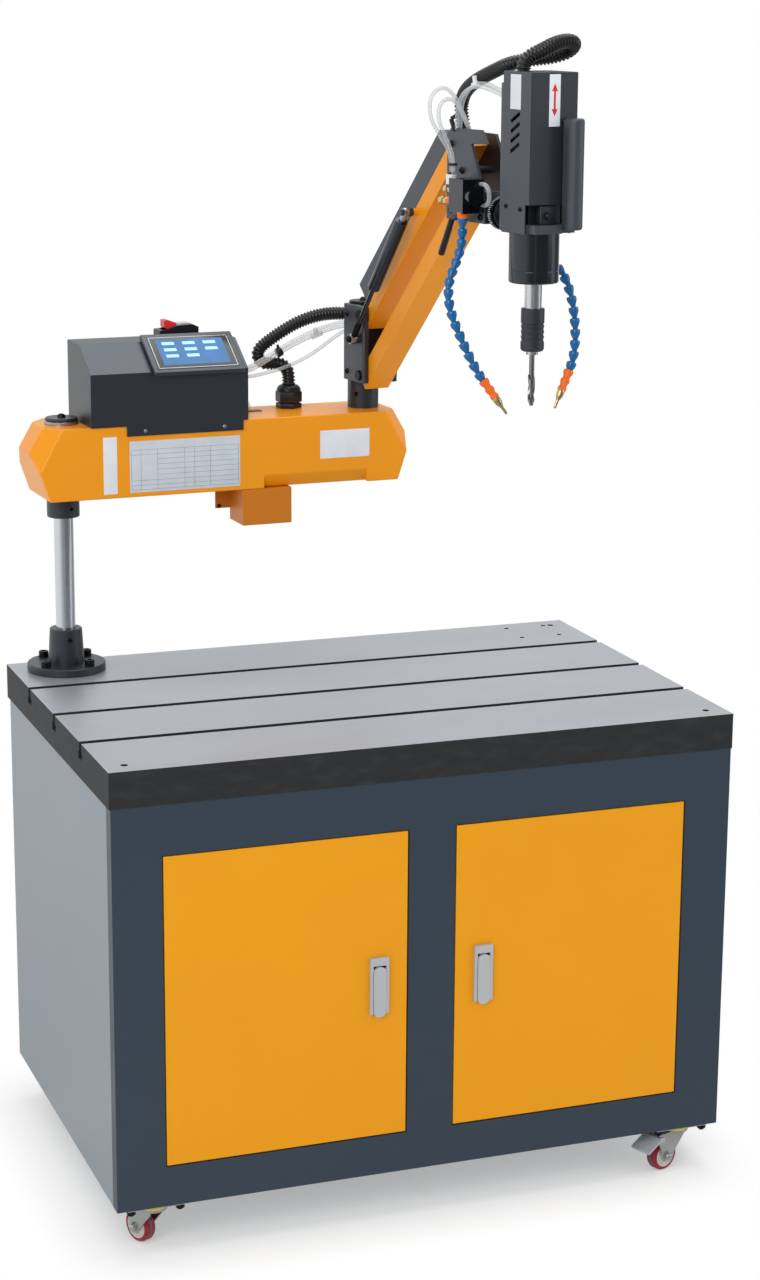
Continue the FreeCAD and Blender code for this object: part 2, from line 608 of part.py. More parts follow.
def control_box():
    """The sheet cover of the controls with its skirt, and the servo drive under it."""
    wall = "box_wall"
    shell = [("box_front", "arm_high"), ("box_front", "box_sill"), ("box_brow", "box_roof"),
             ("box_back", "box_roof"), ("box_back", "arm_high")]
    room = [(f"box_front + {wall}", "arm_high - 1"), (f"box_front + {wall}", "box_sill - 1.4"),
            ("box_brow + 0.8", f"box_roof - {wall}"), (f"box_back - {wall}", f"box_roof - {wall}"),
            (f"box_back - {wall}", "arm_high - 1")]
    cover = cut(prism("YZ", [shell], "box_left", "box_right"),
                [prism("YZ", [room], f"box_left + {wall}", f"box_right - {wall}")])
    skirt = box(("skirt_left", "box_front", "skirt_low"),
                ("skirt_right", "box_front + 2.2", "arm_high + 6"))
    node(fuse([cover, skirt], "ControlBox"), "control_box", ARM)
    drive = box(("drive_left", "drive_front", "arm_high"),
                ("drive_right", "drive_back", "arm_high + drive_tall"))
    node(drive, "servo_drive", ARM)


def operator_panel():
    """The bezel that lies on the box's slope, with the sunk field of its screen."""
    rise = math.degrees(math.atan2(size("box_roof - box_sill"), size("box_brow - box_front")))
    slab = box((0, "-panel_drop", 0), ("panel_wide", "panel_tall - panel_drop", "panel_thick"))
    field = box((14, "10 - panel_drop", "panel_thick - 1"),
                ("panel_wide - 14", "panel_tall - panel_drop - 14", "panel_thick + 1"))
    place = ARM.multiply(frame(("panel_left", "box_front", "box_sill"), (1, 0, 0), rise))
    node(cut(slab, [field], "Panel"), "operator_panel", place)


def power_switch():
    """The switch housing on the box's roof and the rocker that pivots in its well."""
    roof = "box_roof"
    shape = [("switch_left", roof), ("switch_left", f"{roof} + 13"), (184, f"{roof} + 13.5"),
             (205, f"{roof} + 20"), (231, f"{roof} + 21.5"), ("switch_right", f"{roof} + 17"),
             ("switch_right", roof)]
    case = prism("XZ", [shape], "switch_front", "switch_back")
    well = box((182, "switch_front + 6", f"{roof} + 3"), (230, "switch_back - 6", f"{roof} + 30"))
    seat = rod("rocker_pin + fit_gap", ("rocker_u", "switch_front + 3.5", f"{roof} + rocker_lift"),
               "switch_back - switch_front - 7", "Y")
    node(cut(case, [well, seat], "SwitchBox"), "switch_box", ARM)
    rocker = [(184, f"{roof} + 17"), (184, f"{roof} + 28.5"), (190, f"{roof} + 29.5"),
              (207, f"{roof} + 23"), (226, f"{roof} + 24"), (228, f"{roof} + 21"),
              (212, f"{roof} + 10"), (200, f"{roof} + 10")]
    key = prism("XZ", [rocker], "switch_front + 6.5", "switch_back - 6.5")
    axle = rod("rocker_pin", ("rocker_u", "switch_front + 4", f"{roof} + rocker_lift"),
               "switch_back - switch_front - 8", "Y")
    node(fuse([key, axle], "Rocker"), "power_rocker", ARM)


def arm_fittings():
    """The cable gland on the arm's back, the tray under it, and the post of the elbow."""
    gland = turned([(0, "arm_high"), (22, "arm_high"), (22, "arm_high + 4"), (17, "arm_high + 6"),
                    (17, "arm_high + 16"), (13, "arm_high + 19"), (12, "gland_top"),
                    (0, "gland_top")])
    node(gland, "hose_gland", ARM.multiply(frame(("gland_u", "gland_v", 0))))

    tray = box(("tray_left", "-arm_half", "tray_low"), ("tray_right", "tray_back", "arm_low"))
    room = box(("tray_left + 2", "2 - arm_half", "tray_low + 2"),
               ("tray_right - 2", "tray_back - 2", "arm_low + 1"))
    flange = box(("tray_left - 25", "tray_back", "tray_low + 19"),
                 ("tray_right + 4", "tray_back + 3", "arm_low"))
    lid = box(("tray_left", "-arm_half", "arm_low - 2"),
              ("tray_right", "bevel_in + 1.5 - arm_half", "arm_low"))
    node(fuse([cut(tray, [room]), flange, lid], "Tray"), "wiring_tray", ARM)

    post = turned([("pivot_rad + 0.4", "arm_high"), ("post_rad", "arm_high"),
                   ("post_rad", "post_top - 1"), ("post_rad - 1", "post_top"),
                   ("pivot_rad + 0.4", "post_top")])
    pocket(post, "XZ", [Circle(-6, "arm_high + 24", 4)], "-post_rad - 1", "-pivot_rad")
    node(post, "pivot_post", ELBOW.multiply(frame(angle="post_turn")))


# ---------------------------------------------------------------- second arm

def swivel():
    """The clevis block, the pivot bolt through it with its cap, and the two link pins."""
    blank = prism("XY", [[("block_back + 3", "-block_half"), ("block_front - 3", "-block_half"),
                          ("block_front", "3 - block_half"), ("block_front", "-fork_half"),
                          ("fork_root", "-fork_half"), ("fork_root", "fork_half"),
                          ("block_front", "fork_half"), ("block_front", "block_half - 3"),
                          ("block_front - 3", "block_half"), ("block_back + 3", "block_half"),
                          ("block_back", "block_half - 3"), ("block_back", "3 - block_half")]],
                  "block_low", "block_high")
    boss = rod(8, ("stud_s", "spring_v + 6", "stud_z"), "-spring_v - 6 - block_half + 1", "Y")
    upper = "pin_z + pin_pitch"
    bores = [rod("neck_rad + fit_gap", (0, 0, "block_low - 1"), "block_high - block_low + 2")]
    bores += [rod("pin_rad", ("pin_s", "-block_half - 1", z), "2 * block_half + 2", "Y")
              for z in ("pin_z", upper)]
    node(cut(fuse([blank, boss]), bores, "Block"), "swivel_block", REACH)

    cap = "block_high + "
    node(turned([(0, "arm_low + 4"), ("pivot_rad", "arm_low + 4"), ("pivot_rad", "post_top + 0.2"),
                 ("neck_rad", "post_top + 0.2"), ("neck_rad", cap + "0.2"), (24, cap + "0.2"),
                 (24, cap + "3"), (22.5, cap + "4.5"), (7, cap + "4.5"), (7, cap + "6"),
                 (4, cap + "9.5"), (0, cap + "10.5")]), "pivot_bolt", ELBOW)

    pins = []
    for z in ("pin_z", upper):
        pins.append(fuse([rod("pin_rad", ("pin_s", "-block_half - 0.5", z), "2 * block_half + 1", "Y"),
                          rod("pin_rad + 2.5", ("pin_s", "-block_half - 3", z), 3, "Y"),
                          rod("pin_rad + 2.5", ("pin_s", "block_half", z), 3, "Y")]))
    node(group(pins, "BlockPins"), "block_pins", REACH)


def link(label, place, studs=()):
    """A link as a channel with a bored boss at each end."""
    outside = [("-link_half", "-link_under"), ("link_half", "-link_under"),
               ("link_half", "link_over"), ("link_half - link_wall", "link_over"),
               ("link_half - link_wall", "link_wall - link_under"),
               ("link_wall - link_half", "link_wall - link_under"),
               ("link_wall - link_half", "link_over"), ("-link_half", "link_over")]
    channel = prism("YZ", [outside], "-link_end", "link_len + link_end")
    bosses = [rod("link_boss", (along, "-link_half + 1", 0), "2 * link_half - 2", "Y")
              for along in (0, "link_len")]
    bores = [rod("pin_rad + fit_gap", (along, "-link_half - 1", 0), "2 * link_half + 2", "Y")
             for along in (0, "link_len")]
    node(cut(fuse([channel] + bosses + list(studs)), bores, "Link"), label, place)


def links():
    """Both links, the upper one with the spring's stud, and the cover over it."""
    stud = [rod(6, ("spring_t", "spring_v + 4.4", "spring_q"), "-spring_v - 4.4 - link_half + 1", "Y"),
            rod("rod_rad", ("spring_t", "spring_v - 6", "spring_q"), 12, "Y")]
    link("lower_link", LOWER)
    link("upper_link", UPPER, stud)
    skin = box(("cover_start", "-link_half", "cover_low"), ("cover_end", "link_half", "cover_high"))
    room = box(("cover_start + 2", "2 - link_half", "cover_low - 1"),
               ("cover_end - 2", "link_half - 2", "cover_high - 2"))
    node(cut(skin, [room], "Cover"), "link_cover", UPPER)


def gas_spring():
    """The spring's cylinder on the upper link's stud, and its rod down to the block's boss."""
    rise = math.radians(size("link_rise"))
    along, across = size("spring_t"), size("spring_q")
    foot = Vector(size("stud_s"), 0, size("stud_z"))
    head = Vector(size("pin_s") + along * math.cos(rise) - across * math.sin(rise), 0,
                  size("pin_z + pin_pitch") + along * math.sin(rise) + across * math.cos(rise))
    length = (head - foot).Length
    slope = math.degrees(math.atan2(head.z - foot.z, head.x - foot.x))
    place = REACH.multiply(frame((foot.x, "spring_v", foot.z), (0, 1, 0), -slope))
    tail = f"{length} - spring_tail"
    body = [rod("spring_rad", ("spring_mouth", 0, 0), f"{tail} - spring_mouth", "X"),
            rod("rod_rad - 0.3", (tail, 0, 0), "spring_tail - 4", "X"),
            rod(7, (length, -4, 0), 8, "Y")]
    bores = [rod("rod_rad + fit_gap", ("spring_mouth - 1", 0, 0), f"{tail} - spring_mouth - 8", "X"),
             rod("rod_rad + 0.09", (length, -5, 0), 10, "Y")]
    node(cut(fuse(body), bores, "Cylinder"), "gas_cylinder", place)
    stem = [rod("rod_rad", (6, 0, 0), 190, "X"), rod(5.5, (6, 0, 0), 32, "X"),
            rod(9, (0, -6, 0), 11.6, "Y")]
    node(fuse(stem, "Stem"), "gas_rod", place)


# ---------------------------------------------------------------- bracket and head

def bracket():
    """Two plates with their cross block, tie rod and link pins, and the coolant manifold."""
    rise = math.radians(size("link_rise"))
    pin_s = size("pin_s") + size("link_len") * math.cos(rise)
    pin_z = size("pin_z") + size("link_len") * math.sin(rise)
    near = [(325, 748), (325, 875), (335, 886), (427, 887), (445, 867), (398, 865), (434, 796),
            (430, 748)]
    far = [(325, 748), (325, 872), (335, 879), (385, 878), (401, 853), (434, 796), (430, 748)]
    inner = "plate_half - plate_thick"
    block = box(("cross_back", "-plate_half", 748), ("cross_front", "plate_half", 796))
    parts = [prism("XZ", [near], "-plate_half", f"-({inner})"),
             prism("XZ", [far], inner, "plate_half"), block]
    for s, z in ((pin_s, pin_z), (pin_s, pin_z + size("pin_pitch")), (373, 824)):
        parts.append(rod("pin_rad", (s, "-plate_half - 1", z), "2 * plate_half + 2", "Y"))
    bore = rod("tilt_rad + fit_gap", ("cross_back - 1", 0, "tilt_z"), 20, "X")
    node(cut(fuse(parts), [bore], "Bracket"), "head_bracket", REACH)

    body = [box(("valve_back", "-valve_out", "valve_low"),
                ("valve_front", "-plate_half", "valve_high")),
            rod(15, ("valve_front - 1", -47, "valve_low + 26"), 14, "X"),
            box(("valve_back - 13", -62, "valve_high - 15"),
                ("valve_back + 1", -50, "valve_high - 3")),
            rod(6, ("valve_back - 7", -56, "valve_high - 10"), 18)]
    body += [rod(5, ("valve_back - 22", across, up), 23, "X") for across, up in ((-48, 796), (-56, 779))]
    body.append(rod("hose_rad", (427, -57, "valve_low - 7"), 8))
    far_side = [box(("far_valve - 11", "plate_half", "valve_low"),
                    ("far_valve + 11", "plate_half + 27", "valve_low + 26")),
                rod("hose_rad", ("far_valve", "plate_half + 15", "valve_low - 7"), 8)]
    node(group([fuse(body, "Manifold"), fuse(far_side, "FarValve")], "Manifolds"), "manifold_block", REACH)


def head():
    """The graduated tilt disc, the frame, motor and cover of the head, and its handle cover."""
    disc = turned([(0, 418), (12, 418), (12, "cross_back - 0.5"), ("tilt_rad", "cross_back - 0.5"),
                   ("tilt_rad", "cross_front + 0.5"), ("dial_rad - 2", "cross_front + 0.5"),
                   ("dial_rad", "cross_front + 3"), ("dial_rad", "cross_front + dial_thick"),
                   ("hub_rad", "cross_front + dial_thick"), ("hub_rad", "spine_back"),
                   (0, "spine_back")])
    node(disc, "tilt_disc", REACH.multiply(frame((0, 0, "tilt_z"), (0, 1, 0), 90)))

    spine = [box(("spine_back", "-head_half + 2.5", "base_low"),
                 ("spine_front", "head_half - 2.5", "head_high - 17")),
             box(("spine_front - 1", "-head_half + 2.5", "base_low"),
                 (578, "head_half - 2.5", "base_high")),
             box((577, "-head_half + 6", "base_low"), ("head_front + 8", "grip_in - 0.5", "base_high")),
             box((579, "grip_in - 1", "base_low"), ("head_front - 0.5", "head_half", "base_high"))]
    throat = rod(15, ("spindle_s", 0, "base_low - 1"), 15)
    node(cut(fuse(spine), [throat], "HeadFrame"), "head_frame", REACH)

    skin = box(("spine_front + 0.5", "-head_half", "head_low"),
               ("head_front", "head_half", "head_high"))
    room = box(("spine_front", "-head_half + head_wall", "head_low - 1"),
               ("head_front - head_wall", "head_half - head_wall", "head_high - head_wall"))
    brow = box((578.5, "-head_half - 1", "head_low - 1"),
               ("head_front + 1", "head_half + 1", "head_brow"))
    slots = []
    for step in range(4):
        slot = doc.addObject("Part::Box", "Vent")
        for side, formula in (("Length", "vent_long"), ("Width", "2 * head_half + 2"),
                              ("Height", "vent_tall")):
            slot.setExpression(side, worded(formula))
        corner = Vector(*map(size, ("-vent_long / 2", "-head_half - 1", "-vent_tall / 2")))
        spot = Vector(size("vent_s"), 0, size(f"vent_z + {step} * vent_step"))
        turn = Rotation(Vector(0, 1, 0), size("vent_tilt"))
        slot.Placement = Placement(spot + turn.multVec(corner), turn)
        slots.append(slot)
    node(cut(skin, [room, brow] + slots, "HeadCover"), "head_cover", REACH)

    motor = [box(("spindle_s - motor_half", "-motor_half", "base_high"),
                 ("spindle_s + motor_half", "motor_half", 906)),
             box(("spindle_s - 22", -22, 905), ("spindle_s + 22", 22, 942)),
             rod("drive_rad", ("spindle_s", 0, "quill_top + 3"), "base_high - quill_top")]
    node(fuse(motor, "Motor"), "servo_motor", REACH)

    grip = [("head_front", "grip_in"), ("grip_front - 8", "grip_in"), ("grip_front", "grip_in + 7"),
            ("grip_front", "head_half - 7"), ("grip_front - 7", "head_half"),
            ("head_front", "head_half")]
    node(prism("XY", [grip], "grip_low", "grip_high"), "handle_cover", REACH)


def spindle():
    """The gearbox under the head, the spindle, its quick-change sleeve and the tap."""
    place = REACH.multiply(frame(("spindle_s", 0, 0)))
    quill, bore = "quill_rad", "quill_rad + fit_gap"
    node(turned([(bore, "gear_low"), ("gear_rad - 2", "gear_low"), ("gear_rad", "gear_low + 2"),
                 ("gear_rad", "gear_seam - 0.6"), ("gear_rad - 0.8", "gear_seam"),
                 ("gear_rad", "gear_seam + 0.6"), ("gear_rad", "base_low"),
                 ("drive_rad + fit_gap", "base_low"), ("drive_rad + fit_gap", "quill_top + 3"),
                 (bore, "quill_top + 3")]), "gearbox", place)
    node(turned([(0, "quill_top"), (quill, "quill_top"), (quill, "quill_low"), (9, "quill_low"),
                 (9, "quill_low - 4.7"), ("tap_rad", "quill_low - 4.7"), ("tap_rad", 600),
                 (0, 600)]), "spindle", place)
    sleeve = [(bore, "sleeve_top"), ("sleeve_rad - 0.8", "sleeve_top"),
              ("sleeve_rad", "sleeve_top - 1"), ("sleeve_rad", "sleeve_top - 22")]
    for step in range(4):
        rim = f"sleeve_top - {22 + 8 * step}"
        sleeve += [("sleeve_rad - 1.2", f"{rim} - 1"), ("sleeve_rad - 1.2", f"{rim} - 3"),
                   ("sleeve_rad", f"{rim} - 4")]
    sleeve += [("sleeve_rad", "sleeve_low + 3"), ("sleeve_rad - 2", "sleeve_low"),
               (bore, "sleeve_low")]
    node(turned(sleeve), "chuck_sleeve", place)
    node(turned([(0, 600), ("tap_rad", 600), ("tap_rad", "flute_top"), ("flute_rad", "flute_top - 2"),
                 ("flute_rad", "tap_tip + 7"), (2, "tap_tip"), (0, "tap_tip")]), "tap", place)


# ---------------------------------------------------------------- hoses

def conduits():
    """The corrugated conduits and the clear air tubes."""
    lower = [(404, 33, 446), (404, 33, 463), (400.5, 33.5, 474), (389, 36, 482.5), (375, 40, 482),
             (363, 44, 482.5), (356, 48, 489), (355, 50, 499), (361, 50, 509), (373, 48, 518.5),
             (392, 45, 531.5), (415, 42, 545), (439, 40, 554.5), (465, 39, 560.5), (488, 39, 561.5),
             (508, 38.4, 560.5), (519.6, 32.8, 559.5), (526.3, 22.9, 559), (527.46, 10.92, 559)]
    hose(lower, size("conduit_rad"), "conduit_lower", ARM)
    upper = [(338, -6, 884), (331, -8, 911), (338.5, -9, 934), (361, -10, 950), (395, -10, 963),
             (431, -8, 974), (463, -3, 985), (484, 15, 991), (495, 34, 994), (502, 52, 996.5),
             (509, 64, 1000.5), (517, 70, 1006), (526, 71, 1012), (534, 66, 1017),
             (539.5, 55, 1020), (543, 38, 1019), (545, 20, 1014), (545.5, 4, 1006.5),
             (544, -10, 1001), (541.5, -20, 993.5), (541, -24, 985), (541, -24, 977)]
    hose(upper, size("conduit_rad"), "conduit_upper", REACH)
    lead = [(296.4, 18, 478), (322, 18, 478), (352, 22, 491), (384, 25, 508), (418, 27, 524),
            (452, 27, 537), (482, 25, 546), (499.7, 19, 549), (500.7, 8.4, 549)]
    hose(lead, size("tube_rad"), "air_tube_lower", ARM)
    loop = [(389, -56, 823), (389, -56, 850), (391, -78, 878), (394, -98, 906), (395, -98, 938),
            (395, -76, 952), (393, -55, 938), (387, -40, 917), (378, -25, 899), (368, -13, 884)]
    hose(loop, size("tube_rad"), "air_tube_loop", REACH)


def jet(route, hose_rad):
    """The tapered nozzle on a hose's end, along the hose's last run."""
    last = Vector(*route[-1])
    way = (last - Vector(*route[-2])).normalize()
    wide, fine = hose_rad * 0.75, size("jet_rad")
    cone = Part.makeCone(wide, fine, 14, last - way * 0.5, way)
    needle = Part.makeCylinder(fine, 12, last + way * 13, way)
    return [cone, needle]


def coolant_hoses():
    """The two segmented coolant hoses, each ending in its nozzle beside the tap."""
    radius = size("hose_rad")
    left = [(427, -57, 757), (427, -57, 737), (434, -63, 716), (442, -76, 693), (450, -92, 670),
            (459, -99, 645), (467, -98, 620), (477, -91, 593), (487, -82, 565), (497, -72, 539),
            (505, -62, 520), (511, -52, 505)]
    hose(left, radius, "coolant_hose_left", REACH, jet(left, radius))
    right = [(420, 42.5, 757), (420, 42.5, 738), (424, 45, 722), (438, 51, 709), (458, 59, 700),
             (479, 68, 692), (496, 77, 678), (507, 83, 657), (514, 87, 632), (520, 88, 606),
             (526, 86, 580), (531, 81, 555), (534, 72, 533), (536, 61, 514)]
    hose(right, radius, "coolant_hose_right", REACH, jet(right, radius))


# ---------------------------------------------------------------- assembly

table_top()
cabinet()
for side, name in ((-1, "left"), (1, "right")):
    door(side, name)
    lock(side, name)
caster_plates()
for name, (side, y, heading) in CASTERS.items():
    caster(name, side, y, heading)
column()
arm_housing()
arm_bearings()
arm_cap()
control_box()
operator_panel()
power_switch()
arm_fittings()
swivel()
links()
gas_spring()
bracket()
head()
spindle()
conduits()
coolant_hoses()
doc.recompute()

failed = [thing.Label for thing in doc.Objects if {"Invalid", "Error"} & set(thing.State)]
if failed:
    raise RuntimeError(f"failed objects: {failed}")
os.makedirs("parts", exist_ok=True)
for part in NODES:
    if part.Shape.isNull() or not part.Shape.isValid():
        raise RuntimeError(f"{part.Label} has no valid shape")
    part.Shape.exportStep(f"parts/{part.Label}.step")
print(f"{len(NODES)} nodes written")
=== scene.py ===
"""Looks of the arm tapping machine.

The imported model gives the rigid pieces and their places. Here they get their finishes, and the pieces
that need finer forms are built on the same places: labels, panel, glands, conduits, segmented hoses,
wheels and the fluted tap. Everything is drawn in millimetres in one of the machine's own frames, with
heights counted from the table top on the arms and from the floor on the cabinet.
"""

import logging
import math
from collections.abc import Iterable, Sequence
from dataclasses import dataclass
from enum import Enum

import bmesh
import bpy
from mathutils import Matrix, Vector


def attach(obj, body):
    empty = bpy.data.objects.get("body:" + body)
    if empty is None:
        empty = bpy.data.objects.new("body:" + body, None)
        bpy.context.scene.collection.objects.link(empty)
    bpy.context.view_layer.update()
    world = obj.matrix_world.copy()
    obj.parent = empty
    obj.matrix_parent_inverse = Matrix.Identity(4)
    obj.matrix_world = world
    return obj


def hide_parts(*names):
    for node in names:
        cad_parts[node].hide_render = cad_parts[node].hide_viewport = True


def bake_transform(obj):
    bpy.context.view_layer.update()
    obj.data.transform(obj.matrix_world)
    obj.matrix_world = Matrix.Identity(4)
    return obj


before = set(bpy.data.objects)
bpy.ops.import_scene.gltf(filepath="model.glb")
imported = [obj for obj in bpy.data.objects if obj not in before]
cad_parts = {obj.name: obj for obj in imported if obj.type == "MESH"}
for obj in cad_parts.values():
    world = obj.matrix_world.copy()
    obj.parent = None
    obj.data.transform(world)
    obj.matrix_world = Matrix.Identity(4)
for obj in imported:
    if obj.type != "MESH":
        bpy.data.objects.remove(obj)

MM = 0.001
LOG = logging.getLogger("tapping_machine")
Color = tuple[float, float, float]
Point = tuple[float, float, float]
Spot = Point | Vector
Outline = Sequence[tuple[float, float]]
UP = (0.0, 0.0, 1.0)
WHITE = (1.0, 1.0, 1.0)


def tone(code: str) -> Color:
    """Turn a colour written as six hexadecimal digits into linear light.

    Args:
        code: the colour, such as "FBA90F".

    Returns:
        Red, green and blue from 0 to 1.
    """
    shares = [int(code[start:start + 2], 16) / 255 for start in (0, 2, 4)]
    return tuple(s / 12.92 if s <= 0.04045 else ((s + 0.055) / 1.055) ** 2.4 for s in shares)


def dimmed(color: Color, share: float) -> Color:
    """A colour with its light multiplied by a share."""
    return tuple(part * share for part in color)


# ---------------------------------------------------------------- shader graphs

class Signal:
    """A number on a shader socket, on which arithmetic adds Math nodes."""

    def __init__(self, graph: "Graph", socket: bpy.types.NodeSocket) -> None:
        """Wrap a socket of a graph."""
        self.graph = graph
        self.socket = socket

    def _math(self, operation: str, *terms: "Signal | float") -> "Signal":
        """Add a Math node over some terms."""
        node = self.graph.add("ShaderNodeMath", {"operation": operation}, dict(enumerate(terms)))
        return Signal(self.graph, node.outputs[0])

    def __add__(self, other: "Signal | float") -> "Signal":
        """Add a number or a signal."""
        return self._math("ADD", self, other)

    __radd__ = __add__

    def __sub__(self, other: "Signal | float") -> "Signal":
        """Take a number or a signal away."""
        return self._math("SUBTRACT", self, other)

    def __rsub__(self, other: "Signal | float") -> "Signal":
        """Take this signal away from a number."""
        return self._math("SUBTRACT", other, self)

    def __mul__(self, other: "Signal | float") -> "Signal":
        """Multiply by a number or a signal."""
        return self._math("MULTIPLY", self, other)

    __rmul__ = __mul__

    def above(self, level: float, soft: float) -> "Signal":
        """A mask that rises from 0 to 1 about a level, over a width."""
        rise = self._math("MULTIPLY_ADD", self, 1 / soft, 0.5 - level / soft)
        return rise._math("MINIMUM", rise._math("MAXIMUM", rise, 0.0), 1.0)

    def larger(self, other: "Signal") -> "Signal":
        """The larger of two signals."""
        return self._math("MAXIMUM", self, other)


class Graph:
    """The node tree of one material or world, with the few patterns that the finishes share."""

    def __init__(self, owner: bpy.types.Material | bpy.types.World, shader: str = "Principled BSDF") -> None:
        """Start from the owner's own shader."""
        owner.use_nodes = True
        self.tree = owner.node_tree
        self.shader = self.tree.nodes[shader]

    def add(self, kind: str, settings: dict | None = None, inputs: dict | None = None) -> bpy.types.Node:
        """Add a node.

        Args:
            kind: the node's type.
            settings: its properties.
            inputs: values or links of its sockets, by name or number.

        Returns:
            The new node.
        """
        node = self.tree.nodes.new(kind)
        for name, value in (settings or {}).items():
            setattr(node, name, value)
        for slot, value in (inputs or {}).items():
            self.feed(node.inputs[slot], value)
        return node

    def feed(self, socket: bpy.types.NodeSocket, value: object) -> None:
        """Link a signal or socket, or set a plain value."""
        value = value.socket if isinstance(value, Signal) else value
        if isinstance(value, bpy.types.NodeSocket):
            self.tree.links.new(value, socket)
        elif isinstance(value, tuple) and len(value) == 3 and socket.type == "RGBA":
            socket.default_value = (*value, 1.0)
        else:
            socket.default_value = value

    def coordinates(self, stretch: Point = (1, 1, 1)) -> bpy.types.NodeSocket:
        """Object coordinates, multiplied along each axis."""
        source = self.add("ShaderNodeTexCoord").outputs["Object"]
        return self.add("ShaderNodeMapping", {}, {"Vector": source, "Scale": stretch}).outputs[0]

    def axes(self) -> tuple[Signal, Signal, Signal]:
        """Object coordinates as three signals, in metres."""
        parts = self.add("ShaderNodeSeparateXYZ", {}, {0: self.coordinates()})
        return tuple(Signal(self, output) for output in parts.outputs)

    def facing_up(self) -> Signal:
        """How far a face looks up, from its own normal."""
        normal = self.add("ShaderNodeTexCoord").outputs["Normal"]
        return Signal(self, self.add("ShaderNodeSeparateXYZ", {}, {0: normal}).outputs[2])

    def noise(self, size_mm: float, detail: float = 2.0, stretch: Point = (1, 1, 1)) -> Signal:
        """Noise whose features are about a size across, drawn out along some axes."""
        node = self.add("ShaderNodeTexNoise", {"noise_dimensions": "3D"},
                        {"Vector": self.coordinates(stretch), "Scale": 1 / (size_mm * MM),
                         "Detail": detail, "Roughness": 0.55})
        return Signal(self, node.outputs[0])

    def mix(self, share: "Signal | float", first: object, second: object) -> bpy.types.NodeSocket:
        """Mix two colours."""
        node = self.add("ShaderNodeMix", {"data_type": "RGBA"}, {0: share, 6: first, 7: second})
        return node.outputs[2]

    def shades(self, share: Signal, color: Color, low: float, high: float) -> bpy.types.NodeSocket:
        """Mix a darker and a lighter shade of one colour."""
        return self.mix(share, dimmed(color, low), dimmed(color, high))

    def vector(self, operation: str, *terms: object) -> bpy.types.Node:
        """Add a Vector Math node over some terms."""
        return self.add("ShaderNodeVectorMath", {"operation": operation}, dict(enumerate(terms)))

    def along(self, place: bpy.types.NodeSocket, way: Point) -> Signal:
        """How far a place lies along a direction."""
        return Signal(self, self.vector("DOT_PRODUCT", place, way).outputs["Value"])

    def bump(self, height: Signal, depth_mm: float, strength: float = 0.5) -> bpy.types.NodeSocket:
        """A normal shaped by a height pattern of a depth."""
        inputs = {"Height": height, "Distance": depth_mm * MM, "Strength": strength}
        return self.add("ShaderNodeBump", {}, inputs).outputs[0]

    def surface(self, **values: object) -> None:
        """Set or link the shader's sockets, named with underscores for spaces."""
        for name, value in values.items():
            self.feed(self.shader.inputs[name.replace("_", " ")], value)


# ---------------------------------------------------------------- finishes

@dataclass(frozen=True)
class Finish:
    """A finish that a piece can take."""

    name: str

    def dress(self, graph: Graph) -> None:
        """Lay the finish out in a graph."""
        raise NotImplementedError

    def material(self) -> bpy.types.Material:
        """The finish's material, made once."""
        label = f"{self.name} finish"
        found = bpy.data.materials.get(label)
        if found is None:
            found = bpy.data.materials.new(label)
            self.dress(Graph(found))
        return found


@dataclass(frozen=True)
class Paint(Finish):
    """Sprayed paint or powder coat, with its peel or grain and a faint cloudiness."""

    color: Color
    roughness: float = 0.45
    grain_mm: float = 2.5
    depth_mm: float = 0.02
    cloud: float = 0.05
    speckle: float = 0.0
    gleam: float = 0.5
    cast: Color = WHITE

    def dress(self, graph: Graph) -> None:
        """Mottle the colour, roughen it a little and add the peel."""
        cloud = graph.noise(160, detail=3)
        grain = graph.noise(self.grain_mm)
        base = graph.shades(cloud, self.color, 1 - self.cloud, 1 + self.cloud)
        fleck = grain.above(level=0.62, soft=0.12) * self.speckle
        graph.surface(Base_Color=graph.mix(fleck, base, dimmed(self.color, 2.2)),
                      Specular_IOR_Level=self.gleam, Specular_Tint=self.cast,
                      Roughness=cloud * 0.08 + grain * 0.06 + (self.roughness - 0.07),
                      Normal=graph.bump(grain, self.depth_mm, strength=0.6))


@dataclass(frozen=True)
class Bare(Finish):
    """Bare or plated metal, with fine lines drawn out along some axes."""

    color: Color
    roughness: float = 0.3
    line_mm: float = 0.6
    stretch: Point = (1, 1, 1)
    depth_mm: float = 0.004
    stain: float = 0.12

    def dress(self, graph: Graph) -> None:
        """Lay fine lines and faint stains on the metal."""
        lines = graph.noise(self.line_mm, stretch=self.stretch)
        stains = graph.noise(28, detail=4)
        base = graph.shades(stains, self.color, 1 - self.stain, 1)
        graph.surface(Base_Color=graph.mix(lines * 0.35, base, dimmed(self.color, 0.75)), Metallic=1.0,
                      Roughness=stains * 0.12 + lines * 0.08 + (self.roughness - 0.1),
                      Normal=graph.bump(lines, self.depth_mm))


@dataclass(frozen=True)
class Plastic(Finish):
    """Moulded plastic or rubber with a fine skin."""

    color: Color
    roughness: float = 0.4
    skin_mm: float = 0.8
    depth_mm: float = 0.008
    glow: float = 0.0
    gleam: float = 0.5

    def dress(self, graph: Graph) -> None:
        """Give the moulding its skin and a faint unevenness."""
        skin = graph.noise(self.skin_mm)
        drift = graph.noise(22)
        base = graph.shades(drift, self.color, 0.9, 1.08)
        graph.surface(Base_Color=base, Roughness=drift * 0.12 + skin * 0.05 + (self.roughness - 0.08),
                      Specular_IOR_Level=self.gleam, Normal=graph.bump(skin, self.depth_mm))
        if self.glow:
            graph.surface(Emission_Color=base, Emission_Strength=self.glow)


